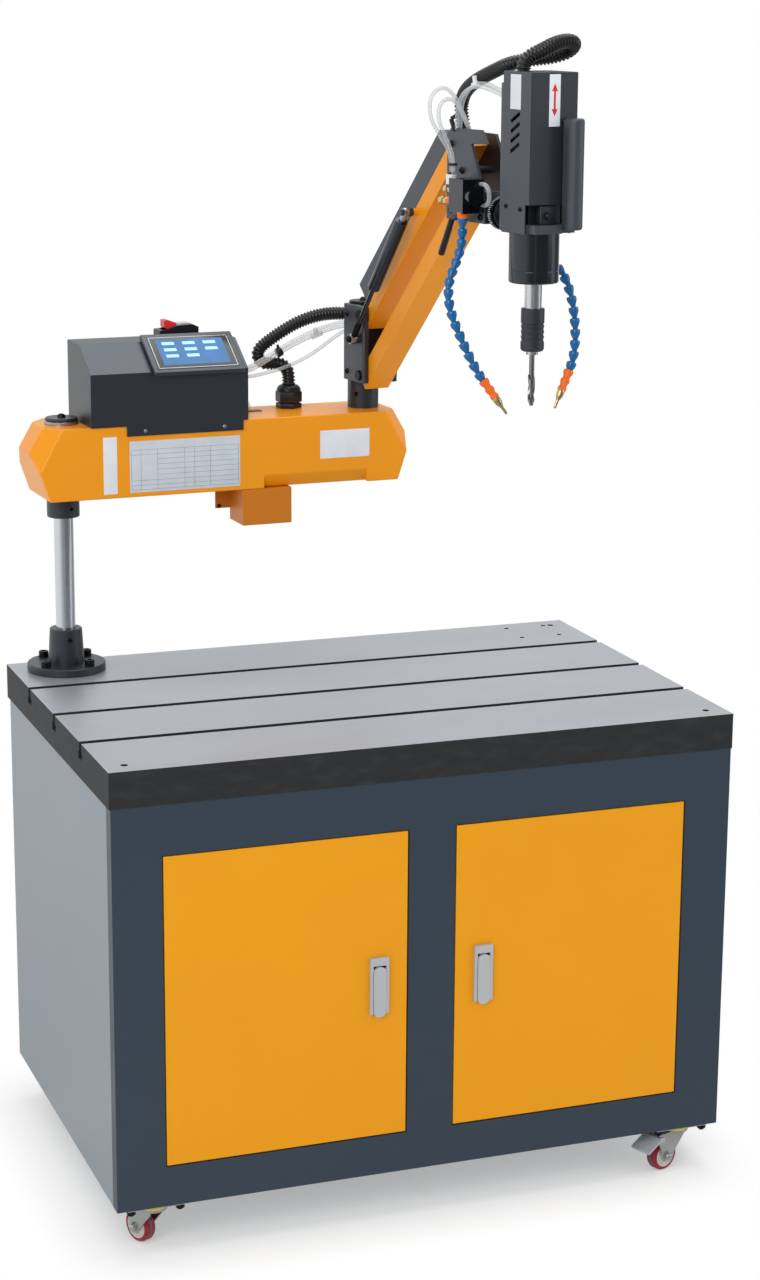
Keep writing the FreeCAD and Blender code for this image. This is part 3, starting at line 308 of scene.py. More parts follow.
@dataclass(frozen=True)
class GroundIron(Finish):
    """A ground iron top: bright, finely scored faces that look up at the top's height, and dark faces
    elsewhere, the sides and the slots.
    """

    bright: Color = tone("B2B8C0")
    dark: Color = tone("1F2124")
    worn: Color = tone("6C6F74")
    top_m: float = 0.761
    cut_m: float = 0.003

    def dress(self, graph: Graph) -> None:
        """Part the bright faces from the dark ones by facing and height."""
        height = graph.axes()[2]
        level = graph.facing_up().above(level=0.7, soft=0.2)
        ground = level * height.above(level=self.top_m - self.cut_m, soft=0.001)
        scoring = graph.noise(1.2, 3, stretch=(0.02, 1, 1))
        haze = graph.noise(190, 4, stretch=(0.5, 1, 1))
        crust = graph.noise(3.5, 5)
        rubbed = graph.noise(24, 5, stretch=(0.6, 1, 1.6)).above(level=0.62, soft=0.3)
        face = graph.shades(scoring * 0.5, self.bright, 1, 0.72)
        face = graph.mix(haze.above(level=0.5, soft=0.5) * 0.35, face, dimmed(self.bright, 0.6))
        # Every face that doesn't look up at the top's height, sides and slots alike, takes the dark colour.
        cast = graph.mix(rubbed * 0.08, graph.shades(crust, self.dark, 0.75, 1.3), self.worn)
        graph.surface(Base_Color=graph.mix(ground, cast, face), Metallic=ground * 0.45,
                      Roughness=0.6 + crust * 0.15 - ground * 0.38 + haze * 0.1,
                      Normal=graph.bump(crust * (1 - ground) + scoring * ground * 0.05, 0.25))


@dataclass(frozen=True)
class Clear(Finish):
    """Clear soft tubing, milky where it is thick."""

    color: Color = tone("DDE2E6")

    def dress(self, graph: Graph) -> None:
        """Let the tube show through, with a glossy wall."""
        cloud = graph.noise(9)
        rim = Signal(graph, graph.add("ShaderNodeLayerWeight", {}, {"Blend": 0.35}).outputs["Facing"])
        graph.surface(Base_Color=graph.shades(cloud, self.color, 1, 0.8), Roughness=cloud * 0.1 + 0.08,
                      Alpha=rim * 0.6 + cloud * 0.12 + 0.25, IOR=1.45)


@dataclass(frozen=True)
class TwoTone(Finish):
    """A moulding in two colours that part along a line across the first arm."""

    first: Color
    second: Color
    parting_m: float

    def dress(self, graph: Graph) -> None:
        """Choose the colour by the place along the table."""
        along = graph.axes()[0]
        skin = graph.noise(0.9)
        base = graph.mix(along.above(self.parting_m, soft=0.0004), self.first, self.second)
        graph.surface(Base_Color=graph.mix(skin * 0.2, base, dimmed(self.first, 0.6)),
                      Roughness=skin * 0.1 + 0.28, Normal=graph.bump(skin, 0.006))


@dataclass(frozen=True)
class Screen(Finish):
    """A lit display whose blue drifts softly across it."""

    color: Color = tone("2F7CC0")

    def dress(self, graph: Graph) -> None:
        """Shade the lit field softly under its glass."""
        drift = graph.noise(60)
        graph.surface(Base_Color=graph.shades(drift, self.color, 0.3, 0.4),
                      Emission_Color=graph.shades(drift, self.color, 0.35, 1.3), Emission_Strength=0.5,
                      Roughness=drift * 0.06 + 0.12, Specular_IOR_Level=0.3)


YELLOW = tone("EE9607")
COOL = (0.8, 0.9, 1.0)

# Paints: name, colour, roughness, size and depth of the grain, cloudiness, speckle, gleam, cast.
SLATE_PAINT = Paint("slate_paint", tone("2F3D4A"), 0.42, 3.0, 0.02, 0.04, 0.0, 0.4)
# Painted light: the cabinet's sides take a light grey that stands for the slate paint lit from the left.
LIT_SIDE_PAINT = Paint("side_paint", tone("8A939A"), 0.45, 3.0, 0.02, 0.03, 0.0, 0.4)
# Painted shade: the tray takes a darker copy of the arm's orange for the shade under the arm.
SHADED_TRAY_PAINT = Paint("shaded_tray_paint", tone("C97514"), 0.4, 2.6, 0.025, 0.04, 0.0, 0.3)
DOOR_PAINT = Paint("door_paint", tone("E79A02"), 0.42, 2.2, 0.03, 0.03, 0.0, 0.25)
ARM_PAINT = Paint("arm_paint", YELLOW, 0.34, 2.6, 0.025, 0.04, 0.0, 0.35)
BLACK_COAT = Paint("black_powder_coat", tone("1B1D22"), 0.42, 0.9, 0.05, 0.08, 0.2, 1.0, COOL)
GREY_COAT = Paint("grey_powder_coat", tone("3A3D43"), 0.42, 0.9, 0.04, 0.06, 0.1, 0.7, COOL)
BLACK_IRON = Paint("black_iron", tone("232529"), 0.4, 1.8, 0.06, 0.12, 0.1, 0.7, COOL)
GLOSS_BLACK = Paint("gloss_black", tone("0A0B0D"), 0.17, 4.0, 0.006, 0.03, 0.0, 0.8, COOL)
PRESSED_ZINC = Paint("pressed_zinc", tone("A6ABAF"), 0.3, 1.0, 0.02, 0.08, 0.0, 0.8)
LOCK_PLATE = Paint("satin_chrome", tone("B0B4B8"), 0.3, 0.6, 0.006, 0.05, 0.0, 0.7)

# Bare metals: name, colour, roughness, width of the lines, their stretch and depth, staining.
CHROMED = Bare("chromed", tone("D5D8DC"), 0.2, 0.5, (1, 1, 0.02), 0.002, 0.06)
BLACKENED = Bare("blackened_steel", tone("2D2E31"), 0.4, 0.8, (1, 1, 1), 0.006, 0.2)
STEEL = Bare("bright_steel", tone("B9BCC0"), 0.32, 0.5, (1, 1, 0.1), 0.004, 0.15)
ZINC = Bare("zinc_plate", tone("C3C5C3"), 0.36, 1.2, (1, 1, 1), 0.006, 0.22)
BRASS = Bare("brass", tone("DFC48E"), 0.3, 0.8, (1, 1, 1), 0.004, 0.18)
TOOL_STEEL = Bare("tool_steel", tone("A2A4A8"), 0.28, 0.5, (1, 1, 0.2), 0.004, 0.3)

# Plastics: name, colour, roughness, size and depth of the skin.
BLACK_PLASTIC = Plastic("black_plastic", tone("18191B"), 0.4, gleam=0.35)
RIBBED = Plastic("ribbed_conduit", tone("1A1B1D"), 0.32, 1.0, 0.01, gleam=0.4)
BLUE_PLASTIC = Plastic("blue_plastic", tone("045F99"), 0.22, 1.2, 0.01, gleam=0.5)
ORANGE_PLASTIC = Plastic("orange_plastic", tone("EC680A"), 0.32, 1.2, 0.01, gleam=0.4)
WHITE_PLASTIC = Plastic("white_plastic", tone("E2E4E6"), 0.4)
WHEEL_RED = Plastic("wheel_red", tone("8A1020"), 0.22, 2.0, 0.01)
WHEEL_GREY = Plastic("wheel_grey", tone("5A5C60"), 0.5, 1.5, 0.02)
HUB_CREAM = Plastic("hub_cream", tone("C9C6BD"), 0.42, 1.5, 0.01)
SEAL_YELLOW = Plastic("seal_yellow", tone("E8C81E"), 0.4)
GLASS_BLACK = Plastic("bezel_black", tone("0E0F11"), 0.14, 6.0, 0.002)
STICKER = Plastic("sticker", tone("DEE1E6"), 0.5, 3.0, 0.004)
TABLE_STICKER = Plastic("table_sticker", tone("C6CDD4"), 0.5, 3.0, 0.004)
STICKER_LINE = Plastic("sticker_line", tone("59616B"), 0.5, 3.0, 0.004)
ARROW_RED = Plastic("arrow_red", tone("D01E28"), 0.45, 3.0, 0.004)
BAR_GLOW = Plastic("screen_bars", tone("8FC2E2"), 0.3, 3.0, 0.002, glow=0.55)

# Finishes of one piece or kind of piece.
GROUND_IRON = GroundIron("ground_iron")
CLEAR_TUBE = Clear("clear_tube")
ROCKER = TwoTone("rocker", tone("E3262E"), tone("C6C9CB"), -0.2095)
SCREEN = Screen("screen")


# ---------------------------------------------------------------- places

def stand(at: Point, turn: float = 0.0) -> Matrix:
    """A frame at a point in millimetres, turned about the vertical in degrees."""
    return Matrix.Translation(at) @ Matrix.Rotation(math.radians(turn), 4, "Z")


@dataclass(frozen=True)
class Layout:
    """Where the machine's own frames stand, in millimetres and degrees."""

    column: Point = (-412.9, 273.5, 761.0)
    arm_yaw: float = 2.5
    arm_length: float = 525.2
    reach_turn: float = -82.0
    pin: tuple[float, float] = (46.2, 467.8)
    pitch: float = 100.0
    rise: float = 45.1
    tilt_height: float = 764.0
    spindle: float = 541.5

    def arm(self) -> Matrix:
        """The first arm's frame, at the column."""
        return stand(self.column, self.arm_yaw)

    def reach(self) -> Matrix:
        """The second arm's frame, at the elbow."""
        elbow = self.arm() @ Vector((self.arm_length, 0, 0))
        return stand(tuple(elbow), self.reach_turn)

    def link(self, level: int) -> Matrix:
        """A link's frame, along the lower link (0) or the upper one (1)."""
        pin = Matrix.Translation((self.pin[0], 0, self.pin[1] + level * self.pitch))
        return self.reach() @ pin @ Matrix.Rotation(-math.radians(self.rise), 4, "Y")


LAYOUT = Layout()
ARM = LAYOUT.arm()
REACH = LAYOUT.reach()


class Way(Enum):
    """The axis that a flat outline is drawn across, as its matrix."""

    X = Matrix(((0, 0, 1, 0), (1, 0, 0, 0), (0, 1, 0, 0), (0, 0, 0, 1)))
    Y = Matrix(((1, 0, 0, 0), (0, 0, -1, 0), (0, 1, 0, 0), (0, 0, 0, 1)))
    Z = Matrix.Identity(4)


def toward(start: Vector, way: Vector) -> Matrix:
    """A frame at a point with its Z along a direction."""
    return Matrix.Translation(start) @ way.to_track_quat("Z", "Y").to_matrix().to_4x4()


# ---------------------------------------------------------------- meshes

ON_AXIS = 1e-6
MERGED = 1e-4


def added(name: str, data: bpy.types.ID) -> bpy.types.Object:
    """Put some data in the scene as an object."""
    made = bpy.data.objects.new(name, data)
    bpy.context.scene.collection.objects.link(made)
    return made


def oblong(left: float, low: float, right: float, high: float) -> Outline:
    """A rectangle's outline."""
    return [(left, low), (right, low), (right, high), (left, high)]


def mirrored(half: Outline) -> Outline:
    """A turned profile completed by its mirror image across height 0."""
    return [*half, *((radius, -height) for radius, height in reversed(half))]


def round_off(mesh: bmesh.types.BMesh, edges: Iterable[bmesh.types.BMEdge], width: float,
              segments: int = 3) -> None:
    """Round edges of a mesh off."""
    bmesh.ops.bevel(mesh, geom=list(edges), offset=width, offset_type="OFFSET", affect="EDGES",
                    segments=segments, profile=0.5, material=-1, clamp_overlap=True)


def drawn(part: bmesh.types.BMesh, moves: Iterable[Matrix]) -> bmesh.types.BMesh:
    """Draw a capped ring out through a run of moves, and cap its end.

    Args:
        part: a mesh that holds only the ring and its cap.
        moves: what takes each ring to the next one.

    Returns:
        The same mesh.
    """
    edges = part.edges[:]
    for move in moves:
        grown = bmesh.ops.extrude_edge_only(part, edges=edges)["geom"]
        verts = [item for item in grown if isinstance(item, bmesh.types.BMVert)]
        edges = [item for item in grown if isinstance(item, bmesh.types.BMEdge)
                 and item.verts[0] in verts and item.verts[1] in verts]
        bmesh.ops.transform(part, verts=verts, matrix=move)
    bmesh.ops.edgeloop_fill(part, edges=edges)
    bmesh.ops.recalc_face_normals(part, faces=part.faces[:])
    return part


class Model:
    """A mesh being built in millimetres in one of the machine's frames.

    Each method that adds a form gives the model back, so that calls can follow each other.
    """

    def __init__(self, place: Matrix) -> None:
        """Start an empty mesh."""
        self.place = place
        self.mesh = bmesh.new()

    def block(self, low: Point, high: Point, soften: float = 0.0, turn: Matrix | None = None) -> "Model":
        """Add a block between two corners, where wanted with rounded edges and set by a matrix."""
        size = Vector(high) - Vector(low)
        middle = Matrix.Translation((Vector(high) + Vector(low)) / 2)
        matrix = (turn or Matrix.Identity(4)) @ middle @ Matrix.Diagonal((*size, 1))
        made = bmesh.ops.create_cube(self.mesh, size=1.0, matrix=matrix)
        if soften:
            round_off(self.mesh, {edge for vert in made["verts"] for edge in vert.link_edges}, soften)
        return self

    def rod(self, start: Spot, end: Spot, radius: float, tip: float | None = None, sides: int = 32,
            soften: float = 0.0) -> "Model":
        """Add a round or many-sided bar from one point to another, tapering to a tip radius."""
        way = Vector(end) - Vector(start)
        made = bmesh.ops.create_cone(self.mesh, cap_ends=True, segments=sides, radius1=radius,
                                     radius2=radius if tip is None else tip, depth=way.length,
                                     matrix=toward(Vector(start) + way / 2, way))
        if soften:
            rims = {edge for vert in made["verts"] for edge in vert.link_edges
                    if abs((edge.verts[0].co - edge.verts[1].co).normalized().dot(way.normalized())) < 0.5}
            round_off(self.mesh, rims, soften, 2)
        return self

    def turned(self, profile: Outline, at: Spot = (0, 0, 0), way: Spot = UP, steps: int = 48) -> "Model":
        """Add a body turned from a closed profile of (radius, height) about a direction at a point."""
        part = bmesh.new()
        verts = [part.verts.new((radius, 0, height)) for radius, height in profile]
        for first, second in zip(verts, verts[1:] + verts[:1]):
            if max(first.co.x, second.co.x) > ON_AXIS:
                part.edges.new((first, second))
        bmesh.ops.spin(part, geom=part.verts[:] + part.edges[:], cent=(0, 0, 0), axis=UP,
                       angle=2 * math.pi, steps=steps, use_merge=True)
        bmesh.ops.remove_doubles(part, verts=part.verts[:], dist=MERGED)
        bmesh.ops.recalc_face_normals(part, faces=part.faces[:])
        part.transform(toward(Vector(at), Vector(way)))
        return self.take(part)

    def slab(self, outline: Outline, low: float, high: float, way: Way = Way.Z,
             soften: float = 0.0) -> "Model":
        """Add a plate with an outline, drawn out between two levels of an axis."""
        part = bmesh.new()
        face = part.faces.new([part.verts.new((x, y, low)) for x, y in outline])
        grown = bmesh.ops.extrude_face_region(part, geom=[face])
        top = [item for item in grown["geom"] if isinstance(item, bmesh.types.BMVert)]
        bmesh.ops.translate(part, verts=top, vec=(0, 0, high - low))
        bmesh.ops.recalc_face_normals(part, faces=part.faces[:])
        part.transform(way.value)
        if soften:
            round_off(part, part.edges[:], soften)
            bmesh.ops.recalc_face_normals(part, faces=part.faces[:])
        return self.take(part)

    def button(self, at: Point, way: Point, radius: float, height: float) -> "Model":
        """Add a low domed screw head with its hexagon recess."""
        flat = radius * 0.45
        axis = Vector(way).normalized()
        dome = [(flat, 0.15), (flat, height * 0.95), (radius * 0.72, height * 0.82),
                (radius * 0.93, height * 0.45), (radius, 0.0), (flat, 0.0)]
        self.turned(dome, at, way, 24)
        return self.rod(Vector(at) - axis * 0.2, Vector(at) + axis * height * 0.35, flat * 1.02, sides=6)

    def buttons(self, spots: Outline, face: float, radius: float, height: float) -> "Model":
        """Add button screws at places along and above the frame, on both faces of a part."""
        for along, above in spots:
            for side in (-1, 1):
                self.button((along, side * face, above), (0, side, 0), radius, height)
        return self

    def cap(self, at: Point, way: Point, radius: float, height: float, rim: float = 0.8) -> "Model":
        """Add a tall cylinder head with its hexagon recess and a chamfered rim."""
        flat, floor = radius * 0.55, height * 0.35
        head = [(flat, floor), (flat, height), (radius - rim, height), (radius, height - rim),
                (radius, 0.0), (0.0, 0.0), (0.0, floor)]
        self.turned(head, at, way, 32)
        return self.rod(at, Vector(at) + Vector(way).normalized() * height * 0.4, flat, sides=6)

    def take(self, part: bmesh.types.BMesh) -> "Model":
        """Add another mesh to this one."""
        scrap = bpy.data.meshes.new("scrap")
        part.to_mesh(scrap)
        part.free()
        self.mesh.from_mesh(scrap)
        bpy.data.meshes.remove(scrap)
        return self

    def piece(self, name: str, finish: Finish, body: str | tuple, stands_for: Sequence[str] = (),
              slot: str = "", sharp: float = 35.0) -> bpy.types.Object:
        """Turn the model into a finished piece.

        Args:
            name: the piece's name.
            finish: what it is dressed in.
            body: the body that it rides on, or two bodies with the start and end of the bend between them.
            stands_for: the nodes that it replaces.
            slot: the record's material slot; not used.
            sharp: the angle past which an edge stays sharp, in degrees.

        Returns:
            The piece's object.
        """
        self.mesh.transform(Matrix.Scale(MM, 4) @ self.place)
        data = bpy.data.meshes.new(name)
        self.mesh.to_mesh(data)
        self.mesh.free()
        data.shade_smooth()
        data.set_sharp_from_angle(angle=math.radians(sharp))
        data.materials.append(finish.material())
        made = added(name, data)
        if isinstance(body, str):
            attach(made, body)
        else:
            first, last = (in_metres(point, self.place) for point in body[2:])
            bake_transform(made)
        if stands_for:
            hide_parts(*stands_for)
        LOG.info("built %s", name)
        return made


def in_metres(point: Iterable[float], place: Matrix) -> tuple[float, ...]:
    """A point of a frame in the object's own frame, in metres."""
    return tuple((place @ Vector(point)) * MM)


WELD_M = 0.00001
PLANE_DEG = 0.5
EDGE_DEG = 30
SPLIT_DEG = 32
FACE_WEIGHT = 50


def modify(node: bpy.types.Object, kind: str, **settings: object) -> None:
    """Add a modifier with its settings to a node."""
    made = node.modifiers.new(kind.lower(), kind)
    for name, value in settings.items():
        setattr(made, name, value)


def dress(finish: Finish, *nodes: str, soften_mm: float = 0.0, segments: int = 2) -> None:
    """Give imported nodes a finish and, where wanted, rounded edges.

    Args:
        finish: what they are dressed in.
        nodes: their names.
        soften_mm: how far their sharp edges are rounded.
        segments: how many faces a rounded edge has.
    """
    for name in nodes:
        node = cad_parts[name]
        node.data.materials.clear()
        node.data.materials.append(finish.material())
        node.data.polygons.foreach_set("use_smooth", [True] * len(node.data.polygons))
        modify(node, "WELD", merge_threshold=WELD_M)
        if soften_mm:
            modify(node, "DECIMATE", decimate_type="DISSOLVE", angle_limit=math.radians(PLANE_DEG))
            modify(node, "BEVEL", width=soften_mm * MM, segments=segments, limit_method="ANGLE",
                   angle_limit=math.radians(EDGE_DEG), use_clamp_overlap=True)
            modify(node, "WEIGHTED_NORMAL", weight=FACE_WEIGHT)
        else:
            modify(node, "EDGE_SPLIT", split_angle=math.radians(SPLIT_DEG))
        LOG.info("dressed %s", name)



# ---------------------------------------------------------------- routes of hoses

@dataclass(frozen=True)
class Route:
    """The centreline of a hose, by control points in one of the machine's frames."""

    place: Matrix
    points: tuple[Point, ...]

    def line(self) -> list[Vector]:
        """The smooth spline through the route, as close points in the route's frame, in millimetres."""
        curve = bpy.data.curves.new("route", "CURVE")
        curve.dimensions = "3D"
        curve.resolution_u = 24
        spline = curve.splines.new("NURBS")
        spline.points.add(len(self.points) - 1)
        for knot, point in zip(spline.points, self.points):
            knot.co = (*point, 1.0)
        spline.order_u = 3
        spline.use_endpoint_u = True
        holder = added("route", curve)
        bpy.context.view_layer.update()
        mesh = bpy.data.meshes.new_from_object(holder)
        points = [vert.co.copy() for vert in mesh.vertices]
        bpy.data.objects.remove(holder)
        bpy.data.meshes.remove(mesh)
        bpy.data.curves.remove(curve)
        return points

    def length(self) -> float:
        """The smooth line's length, in millimetres."""
        line = self.line()
        return sum((after - before).length for before, after in zip(line, line[1:]))

    def stations(self, spacing: float) -> list[Matrix]:
        """Frames spaced evenly along the line, each turned as little as may be from the one before.

        Args:
            spacing: the wanted distance between them, adjusted to fit the length.

        Returns:
            The frames, with their Z along the line.
        """
        line, whole = self.line(), self.length()
        steps = max(2, round(whole / spacing))
        goal = whole / steps
        spots, reached = [line[0]], 0.0
        for before, after in zip(line, line[1:]):
            run = (after - before).length
            while len(spots) <= steps and reached + run >= goal * len(spots) - 1e-6:
                spots.append(before.lerp(after, (goal * len(spots) - reached) / max(run, 1e-9)))
            reached += run
        padded = [spots[0], *spots, spots[-1]]
        ways = [(after - before).normalized() for before, after in zip(padded, padded[2:])]
        turn = ways[0].to_track_quat("Z", "Y")
        frames = [Matrix.Translation(spots[0]) @ turn.to_matrix().to_4x4()]
        for spot, before, after in zip(spots[1:], ways, ways[1:]):
            turn = before.rotation_difference(after) @ turn
            frames.append(Matrix.Translation(spot) @ turn.to_matrix().to_4x4())
        return frames

    def path(self, stations: Sequence[Matrix]) -> list[tuple[float, ...]]:
        """The middles of some stations in the object's frame, in metres."""
        return [in_metres(station.translation, self.place) for station in stations]


def sweep(model: Model, stations: Sequence[Matrix], radii: Sequence[float], sides: int) -> Model:
    """Add a tube whose rings stand on stations.

    Args:
        model: the model to add it to.
        stations: frames along its line.
        radii: the rings' radii, which repeat along the line.
        sides: how many sides a ring has.

    Returns:
        The model.
    """
    part = bmesh.new()
    bmesh.ops.create_circle(part, cap_ends=True, segments=sides, radius=radii[0], matrix=stations[0])
    moves = []
    for index in range(1, len(stations)):
        swell = radii[index % len(radii)] / radii[(index - 1) % len(radii)]
        moves.append(stations[index] @ Matrix.Scale(swell, 4) @ stations[index - 1].inverted())
    return model.take(drawn(part, moves))


# ---------------------------------------------------------------- table and cabinet

@dataclass
class Bench:
    """The table top, the cabinet with its doors and locks."""

    fold: float = 1.2
    sheet_edge: float = 0.6
    plate_edge: float = 0.8

    def build(self) -> None:
        """Dress the table, the cabinet, the doors and their locks."""
        dress(GROUND_IRON, "table_top", soften_mm=self.fold)
        # The shell takes the light grey of the lit sides: painted light on what is the slate paint of the
        # front.
        dress(LIT_SIDE_PAINT, "cabinet_shell", soften_mm=self.sheet_edge)
        dress(SLATE_PAINT, "cabinet_front_frame", soften_mm=self.fold)
        dress(DOOR_PAINT, "door_left", "door_right", soften_mm=self.fold)
        dress(STEEL, "door_hinge_pins")
        dress(LOCK_PLATE, "lock_plate_left", "lock_plate_right", soften_mm=self.plate_edge)
        dress(LOCK_PLATE, "lock_lever_left", "lock_lever_right", soften_mm=self.fold, segments=3)


@dataclass
class Casters:
    """Four swivel casters, one of them braked: each with its place and its heading."""

    corners: tuple[tuple[str, float, float, float], ...] = (
        ("front_left", -437.0, -301.5, 115), ("front_right", 437.0, -301.5, 200),
        ("rear_left", -437.0, 285.0, 285), ("rear_right", 437.0, 285.0, 240))
    braked: str = "front_right"
    trail: float = 26.0
    wheel_radius: float = 26.0
    wheel_half: float = 10.0
    screw_x: float = 38.0
    screw_y: float = 24.0
    plate_foot: float = 73.6
    nut: float = 6.0
    sheet_edge: float = 0.5
    lip: tuple[float, float] = (73.8, 45.0)
    lip_half: float = 18.8
    shoe_half: float = 15.0

    def build(self) -> None:
        """Dress the plates, and build each caster's wheel and small fittings and the pedal's."""
        dress(ZINC, "caster_plates", soften_mm=self.sheet_edge)
        dress(PRESSED_ZINC, "brake_pedal", soften_mm=self.sheet_edge)
        places = {name: stand((x, y, 0), heading) for name, x, y, heading in self.corners}
        for name, place in places.items():
            dress(ZINC, f"caster_fork_{name}", soften_mm=self.sheet_edge)
            self.wheel(name, place)
            self.fittings(name, place)
        self.pedal(places[self.braked])

    def wheel(self, name: str, place: Matrix) -> None:
        """Build a moulded tread with its stripe on a ringed hub, from one half of each profile."""
        radius, half = self.wheel_radius, self.wheel_half
        tread = [(19.5, -half + 0.6), (radius - 4, -half), (radius - 1.5, -half + 1.6),
                 (radius, -half + 4.5), (radius - 0.05, -2.2), (radius - 0.8, -1.8)]
        stripe = [(radius - 1.4, -1.9), (radius - 0.5, -1.9)]
        hub = [(4.1, half + 1), (9, half + 1), (9.6, half - 1.6), (12, half - 1.6), (12.4, half - 0.6),
               (15, half - 0.6), (15.4, half - 1.8), (18.4, half - 1.8), (19.6, half - 0.5)]
        for part, profile, finish, nodes, slot in (
                ("tread", tread, WHEEL_RED, [f"caster_wheel_{name}"], "wheel"),
                ("stripe", stripe, WHEEL_GREY, [], ""),
                ("hub", hub, HUB_CREAM, [], "")):
            model = Model(place).turned(mirrored(profile), (self.trail, 0, radius), (0, 1, 0), 64)
            model.piece(f"{part}_{name}", finish, f"wheel_{name}", nodes, slot)

    def fittings(self, name: str, place: Matrix) -> None:
        """Build the axle's dome nuts, the yellow seal over the race and the plate's screws."""
        nuts = Model(place)
        dome = [(0, 7.2), (2.6, 6.8), (4.8, 5.4), (5.8, 3.6), (5.8, 0), (0, 0)]
        for side in (-1, 1):
            foot = Vector((self.trail, side * (self.wheel_half + 4), self.wheel_radius))
            nuts.rod(foot, foot + Vector((0, side * 3.6, 0)), 7.6, sides=6, soften=0.4)
            nuts.turned(dome, foot, (0, side, 0), 24)
        nuts.piece(f"axle_nuts_{name}", ZINC, f"fork_{name}", slot="zinc")
        seal = [(24.9, 68.2), (26.4, 68.4), (26.8, 69.6), (26.4, 71.6), (24.9, 72)]
        Model(place).turned(seal).piece(f"seal_{name}", SEAL_YELLOW, "frame")
        screws = Model(stand(tuple(place.translation)))
        foot = self.plate_foot - self.nut
        for x in (-self.screw_x, self.screw_x):
            for y in (-self.screw_y, self.screw_y):
                screws.rod((x, y, self.plate_foot), (x, y, foot), 7.2, sides=6, soften=0.5)
                screws.rod((x, y, foot + 0.2), (x, y, foot - 2.4), 3.9, soften=0.6)
        screws.piece(f"plate_screws_{name}", BLACKENED, "frame", slot="blackened_steel")

    def pedal(self, place: Matrix) -> None:
        """Build the rolled lip of the brake pedal and its rubber shoe."""
        ends = ((self.lip[0], side * self.lip_half, self.lip[1]) for side in (-1, 1))
        lip = Model(place).rod(*ends, 2.7, soften=1.2)
        lip.piece("pedal_lip", PRESSED_ZINC, "pedal", slot="zinc")
        outline = [(53, 55), (68, 46.6), (66, 42.6), (52, 50)]
        shoe = Model(place).slab(outline, -self.shoe_half, self.shoe_half, Way.Y, 0.8)
        shoe.piece("pedal_shoe", BLACK_PLASTIC, "pedal", slot="black_plastic")


# ---------------------------------------------------------------- column and first arm

@dataclass
class Column:
    """The bolted flange, the chromed shaft and the clamp collar."""

    bolt_circle: float = 50.0
    bolt_angles: tuple[int, ...] = (35, 125, 215, 305)
    bolt: float = 5.0
    bolt_foot: float = -29.0
    flange: float = 13.0
    set_screw: tuple[Point, Point] = ((0, -30.2, 54), (0, -24, 54))

    def build(self) -> None:
        """Dress the column and build its screws."""
        dress(BLACK_IRON, "column_flange", soften_mm=1.0)
        dress(BLACK_IRON, "column_collar", soften_mm=0.6)
        dress(CHROMED, "column_shaft", soften_mm=0.6)
        screws = Model(stand(LAYOUT.column))
        for angle in map(math.radians, self.bolt_angles):
            x, y = self.bolt_circle * math.cos(angle), self.bolt_circle * math.sin(angle)
            screws.rod((x, y, self.bolt_foot), (x, y, self.flange), self.bolt)
            screws.cap((x, y, self.flange), UP, 8, 10)
        screws.piece("flange_screws", BLACKENED, "frame", ["column_bolts"], "blackened_steel")
        hub = Model(stand(LAYOUT.column)).rod(*self.set_screw, 3.4, sides=24)
        hub.piece("hub_set_screw", BLACKENED, "frame", slot="blackened_steel")


